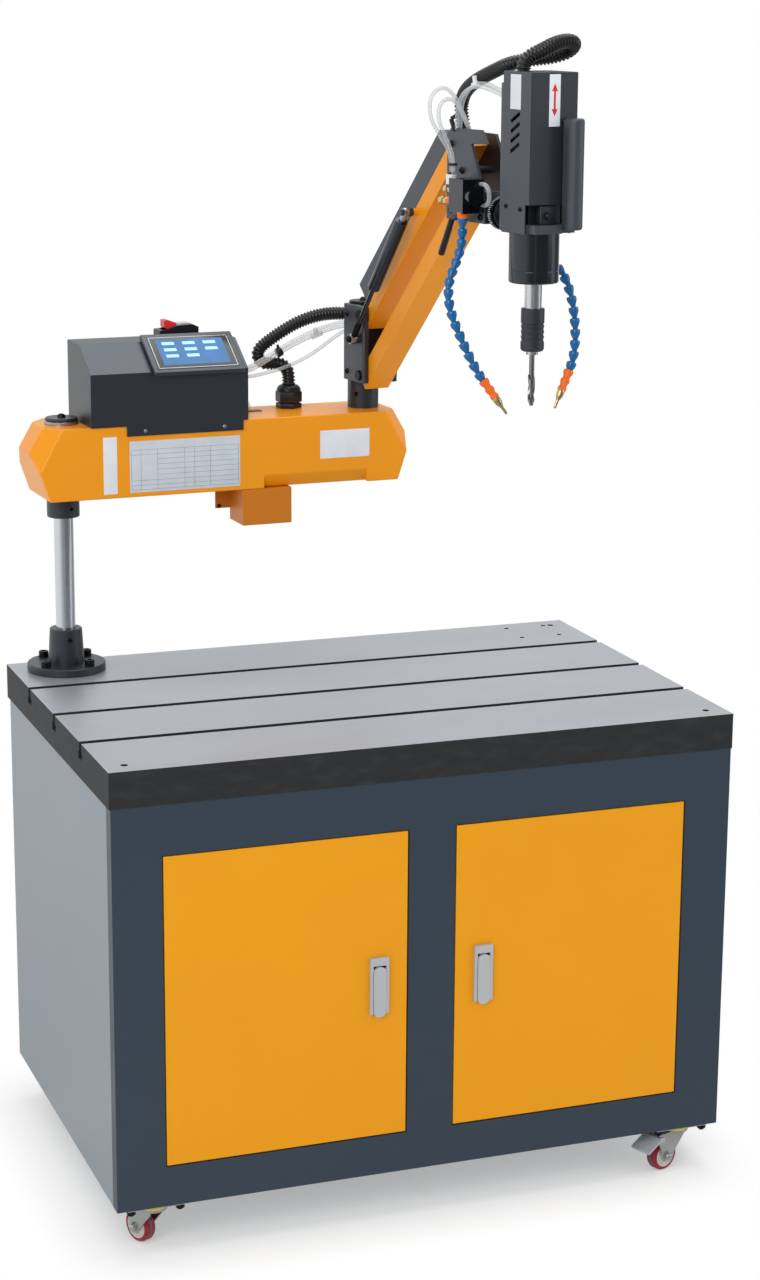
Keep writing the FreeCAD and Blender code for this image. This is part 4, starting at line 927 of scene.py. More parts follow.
@dataclass
class FirstArm:
    """The housing that swings on the column, with its labels, cap, gland and wiring tray."""

    half: float = 63.6
    deck: float = 407.7
    gland: tuple[float, float] = (404.0, 33.0)
    label: float = 0.35
    rule_half: float = 0.2
    rule_levels: tuple[float, float] = (0.3, 0.42)
    columns: tuple[float, ...] = (97, 113, 141, 187, 204, 231, 279.5)
    rows: tuple[float, ...] = (303, 310, 318, 326.5, 335, 343.5, 352, 360, 368)
    tray_screws: tuple[Point, ...] = ((268, 2, 254), (268, 2, 284))
    grommet: float = 0.8

    def build(self) -> None:
        """Dress the housing and build what is fitted to it."""
        dress(ARM_PAINT, "arm_housing", soften_mm=2.2, segments=3)
        # The tray's darker orange is painted shade under the arm.
        dress(SHADED_TRAY_PAINT, "wiring_tray", soften_mm=0.8)
        dress(STEEL, "arm_bearings")
        dress(BLACK_IRON, "pivot_post", soften_mm=0.6)
        self.labels()
        self.rules()
        self.cap()
        self.cable_gland()
        self.small_parts()

    def labels(self) -> None:
        """Lay the bare strip, the plate for the rules and the bare plate on the arm's near side."""
        for name, finish, outline in (("label_strip", STICKER, oblong(50, 298.5, 73, 391.5)),
                                      ("label_table", TABLE_STICKER, oblong(94, 298.5, 282.5, 382.5)),
                                      ("label_plate", STICKER, oblong(423, 334.5, 511, 381.5))):
            plate = Model(ARM).slab(outline, self.half, self.half + self.label, Way.Y, 0.12)
            plate.piece(name, finish, "first_arm")

    def rules(self) -> None:
        """Rule the table's plate: every row on the right, and fewer of them on the left."""
        rules = Model(ARM)
        hair, (above, proud) = self.rule_half, self.rule_levels
        low, high = -self.half - proud, -self.half - above
        for u in self.columns:
            rules.block((u - hair, low, self.rows[0]), (u + hair, high, self.rows[-1]))
        left, middle, right = self.columns[0], self.columns[2], self.columns[-1]
        for rows, start, end in ((self.rows, middle, right), (self.rows[:3] + self.rows[-2:], left, middle)):
            for z in rows:
                rules.block((start - hair, low, z - hair), (end + hair, high, z + hair))
        rules.piece("label_rules", STICKER_LINE, "first_arm")

    def cap(self) -> None:
        """Build the bright ring, the dark disc and the domed bolt over the column."""
        place = ARM @ Matrix.Translation((0, 0, self.deck))
        ring = [(0, 0.2), (27, 0.2), (27, 4.6), (26, 5.4), (0, 5.4)]
        Model(place).turned(ring, steps=64).piece("cap_ring", STEEL, "first_arm", ["arm_cap"], "steel")
        disc = [(0, 5.4), (25, 5.4), (26.6, 6.4), (26.6, 8.6), (25, 10.5), (0, 10.5)]
        Model(place).turned(disc, steps=64).piece("cap_disc", BLACK_IRON, "first_arm")
        Model(place).button((0, 0, 10.5), UP, 7, 5.6).piece("cap_bolt", BLACKENED, "first_arm")

    def cable_gland(self) -> None:
        """Build the gland: a low hexagon nut on the deck, a neck and a tall domed nut."""
        body = Model(ARM @ Matrix.Translation((*self.gland, self.deck)))
        body.rod((0, 0, 0), (0, 0, 8), 22, sides=6, soften=1.4)
        body.rod((0, 0, 8), (0, 0, 9.5), 17)
        body.rod((0, 0, 9.5), (0, 0, 28), 22.5, sides=6, soften=2.0)
        dome = [(11.3, 27), (20.4, 27), (20.2, 31), (18.6, 34.6), (15.8, 37.4), (13, 38.3), (11.3, 38.3)]
        body.turned(dome)
        body.piece("gland_body", BLACK_PLASTIC, "first_arm", ["hose_gland"], "black_plastic")

    def small_parts(self) -> None:
        """Build the tray's screws and the grommet where the air tubes leave the arm."""
        screws = Model(ARM)
        for spot in self.tray_screws:
            screws.button(spot, (0, -1, 0), 3.4, 2.4)
        screws.piece("tray_screws", BLACKENED, "first_arm", slot="blackened_steel")
        outline = [(312, 6), (346, 6), (349, 12), (349, 20), (346, 26), (312, 26), (309, 20), (309, 12)]
        grommet = Model(ARM).slab(outline, self.deck, self.deck + self.grommet, soften=0.3)
        grommet.piece("arm_grommet", BLACK_PLASTIC, "first_arm", slot="black_plastic")


@dataclass
class Controls:
    """The control box on the first arm, with its operator panel and switch."""

    left: float = 133.0
    wide: float = 155.0
    tall: float = 94.0
    drop: float = 12.0
    thick: float = 8.5
    sill: tuple[float, float] = (-66.2, 492.8)
    brow: tuple[float, float] = (-4.5, 534.6)
    glass_rim: tuple[float, float] = (8.5, 8.0)
    glass: float = 0.5
    line: float = 0.9
    line_in: float = 2.0
    line_proud: float = 0.12
    screen_in: float = 21.0
    screen_foot: float = 9.0
    screen_head: float = 8.0
    screen_proud: float = 0.15
    key_proud: float = 0.25
    keys: int = 8
    key: tuple[float, float] = (21.0, 7.0)
    key_step: tuple[float, float] = (35.0, 15.0)
    first_key: tuple[float, float] = (9.0, 13.0)
    box_screws: Outline = ((120.6, 398.8), (254.8, 398.9))

    def build(self) -> None:
        """Dress the box and build its panel, screws and switch."""
        dress(BLACK_COAT, "control_box", soften_mm=1.6, segments=3)
        dress(STEEL, "servo_drive")
        self.panel()
        dress(BLACK_PLASTIC, "switch_box", soften_mm=1.0)
        dress(ROCKER, "power_rocker", soften_mm=0.8)
        screws = Model(ARM)
        for u, z in self.box_screws:
            screws.button((u, self.sill[0], z), (0, -1, 0), 3.2, 2.2)
        screws.piece("box_screws", STEEL, "first_arm", slot="steel")

    def slope(self) -> Matrix:
        """The frame that lies on the box's slope, with X along the arm and Y up the slope."""
        rise = math.atan2(self.brow[1] - self.sill[1], self.brow[0] - self.sill[0])
        return ARM @ Matrix.Translation((self.left, *self.sill)) @ Matrix.Rotation(rise, 4, "X")

    def panel(self) -> None:
        """Build the bezel, its fine frame line, the lit screen and the keys drawn on it."""
        place = self.slope()
        low, high = -self.drop, self.tall - self.drop
        bezel = Model(place).slab(oblong(0, low, self.wide, high), 0, self.thick, soften=1.8)
        bezel.piece("panel_bezel", BLACK_COAT, "first_arm", ["operator_panel"], "black_plastic")
        left, foot = self.glass_rim[0], low + self.glass_rim[1]
        right, head = self.wide - self.glass_rim[0], high - self.glass_rim[1]
        level = self.thick + self.glass
        glass = Model(place).slab(oblong(left, foot, right, head), self.thick, level, soften=0.2)
        glass.piece("panel_glass", GLASS_BLACK, "first_arm")
        self.frame_line(left + self.line_in, foot + self.line_in, right - self.line_in, head - self.line_in)
        x0, x1 = self.screen_in, self.wide - self.screen_in
        y0, y1 = foot + self.screen_foot, head - self.screen_head
        lit, drawn_on = level + self.screen_proud, level + self.key_proud
        screen = Model(place).block((x0, y0, level), (x1, y1, lit))
        screen.piece("panel_screen", SCREEN, "first_arm")
        keys = Model(place)
        for number in range(self.keys):
            row, column = divmod(number, 3)
            x = x0 + self.first_key[0] + column * self.key_step[0]
            y = y1 - self.first_key[1] - row * self.key_step[1]
            keys.block((x, y, lit), (x + self.key[0], y + self.key[1], drawn_on))
        keys.piece("panel_keys", BAR_GLOW, "first_arm")

    def frame_line(self, left: float, foot: float, right: float, head: float) -> None:
        """Draw the light line round the glass, just inside a rectangle."""
        model = Model(self.slope())
        level, line = self.thick + self.glass, self.line
        for x0, y0, x1, y1 in ((left, foot, right, foot + line), (left, head - line, right, head),
                               (left, foot, left + line, head), (right - line, foot, right, head)):
            model.block((x0, y0, level), (x1, y1, level + self.line_proud))
        model.piece("panel_frame_line", WHITE_PLASTIC, "first_arm")


# ---------------------------------------------------------------- second arm

@dataclass
class SecondArm:
    """The clevis block, the two links with the cover, and the gas spring."""

    stud: tuple[float, float] = (44.9, 529.0)
    spring_v: float = -44.0
    spring_t: float = 254.0
    spring_q: float = 3.0
    mouth: float = 117.0
    tube: float = 10.5
    stem: float = 4.0
    shoulder: float = 18.0
    cheek: float = 32.5
    cheek_screws: Outline = ((4, 470), (4, 566))

    def build(self) -> None:
        """Dress the block and links and build the screws of the block's cheeks and the spring."""
        dress(BLACK_COAT, "swivel_block", soften_mm=1.0)
        dress(BLACKENED, "block_pins", "pivot_bolt", soften_mm=0.8)
        dress(ARM_PAINT, "lower_link", "upper_link", soften_mm=1.0)
        dress(BLACK_COAT, "link_cover", soften_mm=1.0)
        heads = Model(REACH).buttons(self.cheek_screws, self.cheek, 5, 3.4)
        heads.piece("block_screws", BLACKENED, "swivel", slot="blackened_steel")
        self.spring()

    def spring(self) -> None:
        """Set the spring between its eyes, and build its upper and lower halves."""
        head = REACH.inverted() @ (LAYOUT.link(1) @ Vector((self.spring_t, 0, self.spring_q)))
        foot = Vector((self.stud[0], self.spring_v, self.stud[1]))
        head.y = self.spring_v
        place = REACH @ toward(foot, head - foot)
        across = place.inverted().to_3x3() @ (REACH.to_3x3() @ Vector((0, 1, 0)))
        self.cylinder(place, (head - foot).length, across)
        self.rod(place, across)

    def cylinder(self, place: Matrix, length: float, across: Vector) -> None:
        """Build the spring's tube, its upper end fitting and the nut through it."""
        mouth, tube, end = self.mouth, self.tube, length - self.shoulder
        profile = [(0, mouth), (tube - 1.1, mouth), (tube, mouth + 1.5), (tube, end - 3),
                   (tube - 0.9, end - 0.4), (5, end), (0, end)]
        Model(place).turned(profile).piece("spring_tube", GLOSS_BLACK, "spring_cylinder", ["gas_cylinder"],
                                           "gloss_black")
        eye = Vector((0, 0, length))
        fitting = Model(place)
        fitting.turned([(0, end), (5, end), (5.4, length - 8), (3.6, length - 3), (0, length - 3)])
        fitting.rod(eye - across * 4, eye + across * 4, 7, soften=0.8)
        fitting.piece("spring_head", STEEL, "spring_cylinder", slot="steel")
        nut = Model(place)
        nut.rod(eye - across * 9, eye - across * 4.2, 5.6, sides=6, soften=0.6)
        nut.rod(eye + across * 4.2, eye + across * 12, 6.8, soften=0.6)
        nut.piece("spring_head_nut", BLACK_IRON, "upper_link", slot="black_iron")

    def rod(self, place: Matrix, across: Vector) -> None:
        """Build the spring's rod with its end fitting, the lower eye and the stud in it."""
        inside = self.mouth + 70
        stem = Model(place).turned([(0, 30), (self.stem, 30), (self.stem, inside), (0, inside)], steps=24)
        stem.piece("spring_stem", GLOSS_BLACK, "spring_rod", ["gas_rod"], "gloss_black")
        end = Model(place).turned([(0, 7), (4.6, 7), (5.5, 10), (5.5, 35), (4.4, 38), (0, 38)], steps=32)
        end.piece("spring_end", BLACKENED, "spring_rod")
        eye = Model(place).rod(across * -5.6, across * 5.6, 8.8, soften=1.0)
        eye.piece("spring_eye", STEEL, "spring_rod", slot="steel")
        stud = Model(place).rod(across * -6.2, across * -5.4, 6.5)
        stud.turned([(0, 0), (6, 0), (5.4, 3), (3, 5), (0, 5.4)], across * -6, -across, 24)
        stud.piece("spring_stud", BLACKENED, "spring_rod")


# ---------------------------------------------------------------- bracket

@dataclass
class Bracket:
    """The plates that hold the head, the manifold and the graduated tilt disc."""

    plate: float = 28.5
    plate_screws: Outline = ((340, 862.6), (340, 762.6), (373, 824))
    valve_screws: tuple[Point, ...] = ((429, -27.5, 757), (429, -27.5, 787))
    elbow: tuple[Point, ...] = ((436, -33, 807), (448, -31, 809), (456, -29, 799), (456, -28, 785),
                                (449, -28, 775), (436, -30, 777))
    elbow_radius: float = 3.4
    marks: int = 48
    mark_radius: float = 24.9
    mark_start: float = 446.5
    mark_long: float = 8.0
    mark_short: float = 5.5
    mark_half: float = 0.55
    mark_depth: float = 0.35

    def build(self) -> None:
        """Dress the bracket and build its screws, the manifold's fittings and the scale."""
        dress(BLACK_COAT, "head_bracket", soften_mm=0.8)
        dress(GLOSS_BLACK, "manifold_block", soften_mm=4.0, segments=4)
        dress(BLACKENED, "tilt_disc", soften_mm=0.5)
        self.screws()
        self.fittings()
        self.lever()
        self.mouths()
        self.scale()

    def screws(self) -> None:
        """Build the button screws on the plates."""
        heads = Model(REACH).buttons(self.plate_screws, self.plate, 5.6, 3.6)
        for spot in self.valve_screws:
            heads.button(spot, (0, -1, 0), 5.6, 3.6)
        heads.piece("bracket_screws", BLACKENED, "bracket", slot="blackened_steel")

    def fittings(self) -> None:
        """Build the manifold's brass fittings with their orange collars, and the clear elbow."""
        brass, collars = Model(REACH), Model(REACH)
        seat, neck, nut, collar, end = 358, 369, 372, 382, 396
        for z, v in ((796, -48), (779, -56)):
            brass.rod((seat, v, z), (neck, v, z), 6.3, soften=1.4)
            brass.rod((neck, v, z), (nut, v, z), 4.0)
            brass.rod((nut, v, z), (collar, v, z), 6.4, sides=6, soften=0.6)
            collars.rod((collar, v, z), (end, v, z), 5.3, soften=0.4)
        brass.piece("manifold_brass", BRASS, "bracket")
        collars.piece("manifold_collars", ORANGE_PLASTIC, "bracket")
        elbow = sweep(Model(REACH), Route(REACH, self.elbow).stations(2.0), (self.elbow_radius,), 16)
        elbow.piece("manifold_elbow", CLEAR_TUBE, "bracket", slot="clear_tube")

    def lever(self) -> None:
        """Build the lever: its boss, its bent arm and its grip."""
        lever = Model(REACH)
        top, middle, foot = ((402, -45, z) for z in (764, 757, 752))
        bend, end = (374, -45, 752), (341, -45, 695)
        lever.rod(top, foot, 5.5, soften=0.6)
        lever.rod(bend, end, 4.6, 5.4, soften=1.6)
        lever.rod(middle, bend, 4.2, 4.4, soften=0.8)
        lever.piece("manifold_lever", BLACK_PLASTIC, "bracket", slot="black_plastic")

    def mouths(self) -> None:
        """Build the sockets of the coolant hoses, the air tube's entry and the ties."""
        mouths = Model(REACH)
        mouth = [(0, 0), (8.2, 0), (8.6, 2), (8.2, 9), (6.4, 10), (0, 10)]
        for spot in ((427, -57, 766), (420, 42.5, 766)):
            mouths.turned(mouth, spot, (0, 0, -1), 32)
        mouths.piece("hose_sockets", ORANGE_PLASTIC, "bracket")
        entry = Model(REACH).rod((389, -56, 805), (389, -56, 820), 8.2, soften=0.8)
        entry.piece("tube_entry", WHITE_PLASTIC, "bracket")
        ties = Model(REACH)
        knot = (342, -31, 900)
        ties.rod((391.5, -56, 833), (391.5, -56, 836.5), 7.6, soften=0.8)
        ties.rod((347, -27, 882), knot, 3.6, soften=1.2)
        ties.rod(knot, (349, -24, 906), 3.0, soften=1.0)
        ties.piece("tube_ties", BLACK_PLASTIC, "bracket", slot="black_plastic")

    def scale(self) -> None:
        """Lay the light graduation on the tilt disc's rim and set its bright index ring."""
        place = REACH @ Matrix.Translation((0, 0, LAYOUT.tilt_height))
        marks = Model(place)
        start, rim, half = self.mark_start, self.mark_radius, self.mark_half
        for step in range(self.marks):
            turn = Matrix.Rotation(math.radians(360 / self.marks * step), 4, "X")
            end = start + (self.mark_short if step % 4 else self.mark_long)
            marks.block((start, -half, rim), (end, half, rim + self.mark_depth), turn=turn)
        marks.piece("tilt_scale", WHITE_PLASTIC, "head")
        ring = Model(place).turned(oblong(18, 459.9, 22.5, 461), (0, 0, 0), (1, 0, 0), 64)
        ring.piece("tilt_ring", STEEL, "head", slot="steel")


# ---------------------------------------------------------------- head and spindle

@dataclass
class Head:
    """The powered head: frame, cover, motor, gearbox and handle cover."""

    half: float = 40.0
    front: float = 590.0
    label: float = 0.3
    ink: float = 0.12
    arrow_middle: float = 0.2
    arrow_ends: tuple[float, float] = (913.5, 961.0)
    arrow_barb: tuple[float, float] = (5.0, 11.0)
    arrow_shaft: float = 1.7
    cover_screws: Outline = ((524.7, 781.8), (565.1, 779.7))
    knob: tuple[float, float] = (-9.0, 771.0)

    def build(self) -> None:
        """Dress the head and build its labels and fasteners."""
        dress(GREY_COAT, "head_frame", soften_mm=0.8)
        dress(BLACK_COAT, "head_cover", soften_mm=1.2, segments=3)
        dress(BLACK_IRON, "servo_motor", soften_mm=0.8)
        dress(GLOSS_BLACK, "gearbox", soften_mm=0.5)
        dress(GREY_COAT, "handle_cover", soften_mm=5.0, segments=5)
        self.labels()
        self.fasteners()

    def labels(self) -> None:
        """Lay the bare strips and the double arrow on the cover."""
        for name, outline, face, way in (
                ("side_strip", oblong(532.5, 923, 562, 973), self.half, Way.Y),
                ("front_strip", oblong(-9, 899.5, 9.7, 974), self.front, Way.X)):
            Model(REACH).slab(outline, face, face + self.label, way, 0.1).piece(name, STICKER, "head")
        (low, high), (barb, long) = self.arrow_ends, self.arrow_barb
        rising = [(0, low), (barb, low + long), (self.arrow_shaft, low + long),
                  (self.arrow_shaft, high - long), (barb, high - long)]
        falling = [(-barb, high - long), (-self.arrow_shaft, high - long), (-self.arrow_shaft, low + long),
                   (-barb, low + long)]
        arrow = [(self.arrow_middle + v, z) for v, z in (*rising, (0, high), *falling)]
        face = self.front + self.label
        Model(REACH).slab(arrow, face, face + self.ink, Way.X).piece("feed_arrow", ARROW_RED, "head")

    def fasteners(self) -> None:
        """Build the cover's screws, the black knob and the step of the base that it stands on."""
        heads = Model(REACH).buttons(self.cover_screws, self.half, 3.6, 2.4)
        heads.piece("cover_screws", BLACKENED, "head", slot="blackened_steel")
        step = Model(REACH).block((578.6, -20, 758), (self.front, 6, 785), 1.0)
        step.piece("base_step", BLACK_COAT, "head")
        profile = [(0, 0), (5.4, 0), (5.8, 1), (5.2, 7), (3.4, 8.4), (0, 8.4)]
        knob = Model(REACH).turned(profile, (self.front, *self.knob), (1, 0, 0), 32)
        knob.piece("front_knob", BLACK_PLASTIC, "head", slot="black_plastic")


@dataclass
class Spindle:
    """The bright quill, the grooved quick-change sleeve and the fluted tap."""

    tip: float = 484.0
    shank_top: float = 600.0
    shank: float = 4.0
    flute_top: float = 531.0
    flutes: int = 3
    core: float = 3.6
    lobe: float = 1.8
    twist: float = 1.5
    steps: int = 30
    narrowing: int = 5

    def build(self) -> None:
        """Dress the quill and sleeve and build the tap."""
        dress(CHROMED, "spindle", soften_mm=0.4)
        dress(BLACK_IRON, "chuck_sleeve", soften_mm=0.3)
        self.tap()

    def tap(self) -> None:
        """Build the tap: a plain shank and a body of three twisted flutes that narrows at its tip."""
        place = REACH @ Matrix.Translation((LAYOUT.spindle, 0, 0))
        shank = Model(place).rod((0, 0, self.flute_top), (0, 0, self.shank_top), self.shank)
        shank.piece("tap_shank", TOOL_STEEL, "spindle", ["tap"], "tool_steel")
        body = bmesh.new()
        ring = bmesh.ops.create_circle(body, cap_ends=True, segments=36, radius=1.0,
                                       matrix=Matrix.Translation((0, 0, self.flute_top)))
        for vert in ring["verts"]:
            angle = math.atan2(vert.co.y, vert.co.x)
            swell = min(1.0, max(-1.0, 1.8 * math.cos(self.flutes * angle)))
            reach = self.core + self.lobe * swell
            vert.co = Vector((vert.co.x * reach, vert.co.y * reach, vert.co.z))
        fall = Matrix.Translation((0, 0, (self.tip - self.flute_top) / self.steps))
        turn = Matrix.Rotation(2 * math.pi * self.twist / self.steps / self.flutes, 4, "Z")
        plain = [fall @ turn] * (self.steps - self.narrowing)
        narrow = [fall @ turn @ Matrix.Diagonal((0.88, 0.88, 1, 1))] * self.narrowing
        flutes = Model(place).take(drawn(body, plain + narrow))
        flutes.piece("tap_flutes", TOOL_STEEL, "spindle", slot="tool_steel", sharp=28)


# ---------------------------------------------------------------- hoses

LOWER_CONDUIT = Route(ARM, (
    (404, 33, 446), (404, 33, 463), (400.5, 33.5, 474), (389, 36, 482.5), (375, 40, 482), (363, 44, 482.5),
    (356, 48, 489), (355, 50, 499), (361, 50, 509), (373, 48, 518.5), (392, 45, 531.5), (415, 42, 545),
    (439, 40, 554.5), (465, 39, 560.5), (488, 39, 561.5), (508, 38.4, 560.5), (519.6, 32.8, 559.5),
    (526.3, 22.9, 559), (527.46, 10.92, 559)))
UPPER_CONDUIT = Route(REACH, (
    (338, -6, 884), (331, -8, 911), (338.5, -9, 934), (361, -10, 950), (395, -10, 963), (431, -8, 974),
    (463, -3, 985), (484, 15, 991), (495, 34, 994), (502, 52, 996.5), (509, 64, 1000.5), (517, 70, 1006),
    (526, 71, 1012), (534, 66, 1017), (539.5, 55, 1020), (543, 38, 1019), (545, 20, 1014), (545.5, 4, 1006.5),
    (544, -10, 1001), (541.5, -20, 993.5), (541, -24, 985), (541, -24, 977)))
LOWER_TUBE = Route(ARM, (
    (296.4, 18, 478), (322, 18, 478), (352, 22, 491), (384, 25, 508), (418, 27, 524), (452, 27, 537),
    (482, 25, 546), (499.7, 19, 549), (500.7, 8.4, 549)))
LOWER_SECOND = Route(ARM, (
    (296.4, 18, 471.6), (322, 18, 471.6), (352, 22, 484), (384, 26, 500.5), (418, 28.5, 516),
    (452, 28.5, 529), (482, 26, 538.5), (499.7, 19.5, 542.2), (500.7, 8.4, 542.6)))
LOWER_SLACK = Route(ARM, (
    (296.4, 18, 465.2), (324, 18, 464), (352, 20, 468), (384, 23, 474), (418, 26, 484), (450, 27, 500),
    (478, 25, 520), (498.5, 19, 534.5), (500.7, 8.4, 536.2)))
DECK_TUBE = Route(ARM, ((296.4, 24, 436), (308, 24, 437), (320, 21, 430), (327, 17, 418), (329, 15, 405)))
LOOP_SECOND = Route(REACH, (
    (395.2, -56, 820), (395.2, -56, 846), (397, -70, 874), (399, -85, 899), (400, -86, 923), (400, -70, 935),
    (398, -52, 926), (392, -40, 910), (384, -29, 896), (376, -17, 884)))
HEAD_TUBE = Route(REACH, (
    (352, -20, 884), (352, -20, 905), (364, -24, 927), (383, -25, 945), (402, -21, 955), (418, -13, 955),
    (432, -2, 948), (447, 8, 940), (466, 13, 934), (486, 13, 931), (502, 13, 931)))
HEAD_SECOND = Route(REACH, (
    (352, -26.6, 884), (352, -26.6, 905), (364, -30.8, 925), (383, -31.6, 942), (402, -27.4, 950.5),
    (418, -18, 950), (432, -5, 943), (447, 7, 934), (466, 13, 927.5), (486, 13, 924.6), (502, 13, 924.6)))
TUBE_LOOP = Route(REACH, (
    (389, -56, 823), (389, -56, 850), (391, -78, 878), (394, -98, 906), (395, -98, 938), (395, -76, 952),
    (393, -55, 938), (387, -40, 917), (378, -25, 899), (368, -13, 884)))
LEFT_HOSE = Route(REACH, (
    (427, -57, 757), (427, -57, 737), (434, -63, 716), (442, -76, 693), (450, -92, 670), (459, -99, 645),
    (467, -98, 620), (477, -91, 593), (487, -82, 565), (497, -72, 539), (505, -62, 520), (511, -52, 505)))
RIGHT_HOSE = Route(REACH, (
    (420, 42.5, 757), (420, 42.5, 738), (424, 45, 722), (438, 51, 709), (458, 59, 700), (479, 68, 692),
    (496, 77, 678), (507, 83, 657), (514, 87, 632), (520, 88, 606), (526, 86, 580), (531, 81, 555),
    (534, 72, 533), (536, 61, 514)))


Bodies = tuple[str, str]
ELBOW: Bodies = ("first_arm", "swivel")
TILT: Bodies = ("bracket", "head")


@dataclass(frozen=True)
class Pipe:
    """A kind of hose: its rings' radii, which repeat along it, and what it is made of."""

    radii: tuple[float, ...]
    spacing: float
    sides: int
    finish: Finish
    slot: str
    stiffness: str


RIB = (9.0, 11.0, 11.0, 9.0)
RIB_PITCH = 5.4
CONDUIT = Pipe(RIB, RIB_PITCH / len(RIB), 24, RIBBED, "corrugated", "stiff")
TUBE = Pipe((3.0,), 4.0, 16, CLEAR_TUBE, "clear_tube", "medium")


@dataclass
class Hoses:
    """The corrugated conduits, the clear air tubes and the two segmented coolant hoses."""

    segment: float = 16.7
    smooth: float = 60.0
    nozzle: float = 27.0

    def build(self) -> None:
        """Build every hose on its route."""
        for name, pipe, route, bodies, nodes in (
                ("lower_conduit", CONDUIT, LOWER_CONDUIT, ELBOW, ["conduit_lower"]),
                ("upper_conduit", CONDUIT, UPPER_CONDUIT, TILT, ["conduit_upper"]),
                ("lower_air_tube", TUBE, LOWER_TUBE, ELBOW, ["air_tube_lower"]),
                ("lower_air_tube_second", TUBE, LOWER_SECOND, ELBOW, []),
                ("lower_air_tube_slack", TUBE, LOWER_SLACK, ELBOW, []),
                ("deck_air_tube", TUBE, DECK_TUBE, "first_arm", []),
                ("air_loop", TUBE, TUBE_LOOP, "bracket", ["air_tube_loop"]),
                ("air_loop_second", TUBE, LOOP_SECOND, "bracket", []),
                ("head_air_tube", TUBE, HEAD_TUBE, TILT, []),
                ("head_air_tube_second", TUBE, HEAD_SECOND, TILT, [])):
            self.cord(name, pipe, route, bodies, nodes)
        self.joints()
        self.coolant("left", LEFT_HOSE)
        self.coolant("right", RIGHT_HOSE)

    def cord(self, name: str, pipe: Pipe, route: Route, bodies: str | Bodies, nodes: Sequence[str]) -> None:
        """Args:
            name: the piece's name.
            pipe: the kind of hose.
            route: its route.
            bodies: the body that it rides on, or the two that it bends between.
            nodes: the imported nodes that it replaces.
        """
        stations = route.stations(pipe.spacing)
        model = sweep(Model(route.place), stations, pipe.radii, pipe.sides)
        where = bodies if isinstance(bodies, str) else self.bend(route, bodies)
        made = model.piece(name, pipe.finish, where, nodes, pipe.slot, self.smooth)
        in_metres(route.points[0], route.place)
        route.length() * MM
        2 * max(pipe.radii) * MM
        route.path(stations)

    def bend(self, route: Route, bodies: Bodies) -> tuple[str, str, Point, Point]:
        """Two bodies with the ends of the route between them, where a hose bends."""
        return (*bodies, route.points[0], route.points[-1])

    def joints(self) -> None:
        """Build the tee joints in the air tubes and the tie round the lower bundle."""
        bend = self.bend(LOWER_TUBE, ELBOW)
        lower = Model(ARM)
        lower.rod((443, 27.5, 524.5), (461, 27.5, 531), 4.3, soften=0.8)
        lower.rod((452, 27.5, 528), (449.5, 27.5, 540), 3.6, soften=0.8)
        lower.piece("air_tee_lower", CLEAR_TUBE, bend, slot="clear_tube")
        tie = Model(ARM)
        tie.rod((380, 25, 500.5), (388, 26, 504.5), 8.0, soften=1.0)
        tie.rod((383, 25, 504), (381, 24, 515), 2.2, soften=0.4)
        tie.piece("air_tie", BLACK_PLASTIC, bend, slot="black_plastic")
        upper = Model(REACH)
        upper.rod((396, -24.5, 951), (407, -22, 954.5), 4.6, soften=0.8)
        upper.rod((401, -23, 953), (399, -24, 966), 3.6, soften=0.8)
        upper.piece("air_tee_upper", WHITE_PLASTIC, self.bend(HEAD_TUBE, TILT))

    def coolant(self, side: str, route: Route) -> None:
        """Build a hose of snapped segments that ends in an orange adapter and a brass nozzle."""
        stations = route.stations(self.segment)
        bend = self.bend(route, TILT)
        link = [(2.8, -0.6), (6.4, -0.6), (7.4, 0.2), (7.7, 1.4), (7.7, 4.0), (7.2, 6.4), (5.9, 9.6),
                (4.5, 12.4), (3.8, 14.6), (3.7, 17.4), (2.8, 17.4)]
        links = Model(route.place)
        for station in stations[:-2]:
            links.turned(link, station.translation, station.to_3x3() @ Vector(UP), 20)
        links.piece(f"coolant_links_{side}", BLUE_PLASTIC, bend, [f"coolant_hose_{side}"], "blue_hose")
        adapter = [(2, -2), (7.2, -2), (7.7, -0.8), (7.7, 3), (5.6, 8), (5.3, 11), (7.0, 13), (7.3, 16.5),
                   (5.6, 21), (5.4, 24), (6.7, 26), (6.7, 30), (5.4, 31), (2, 31)]
        nozzle = [(1.4, 0), (5.5, 0), (5.9, 1), (5.9, 7), (5.4, 11), (4.2, 14.5), (2.9, 17), (2.4, 19),
                  (2.3, 31), (1.4, 31)]
        end = stations[-2].translation
        way = stations[-2].to_3x3() @ Vector(UP)
        for part, profile, start, finish in (("adapter", adapter, -2.0, ORANGE_PLASTIC),
                                             ("nozzle", nozzle, self.nozzle, BRASS)):
            model = Model(route.place).turned(profile, end + way * start, way, 24)
            model.piece(f"coolant_{part}_{side}", finish, bend)


# ---------------------------------------------------------------- studio

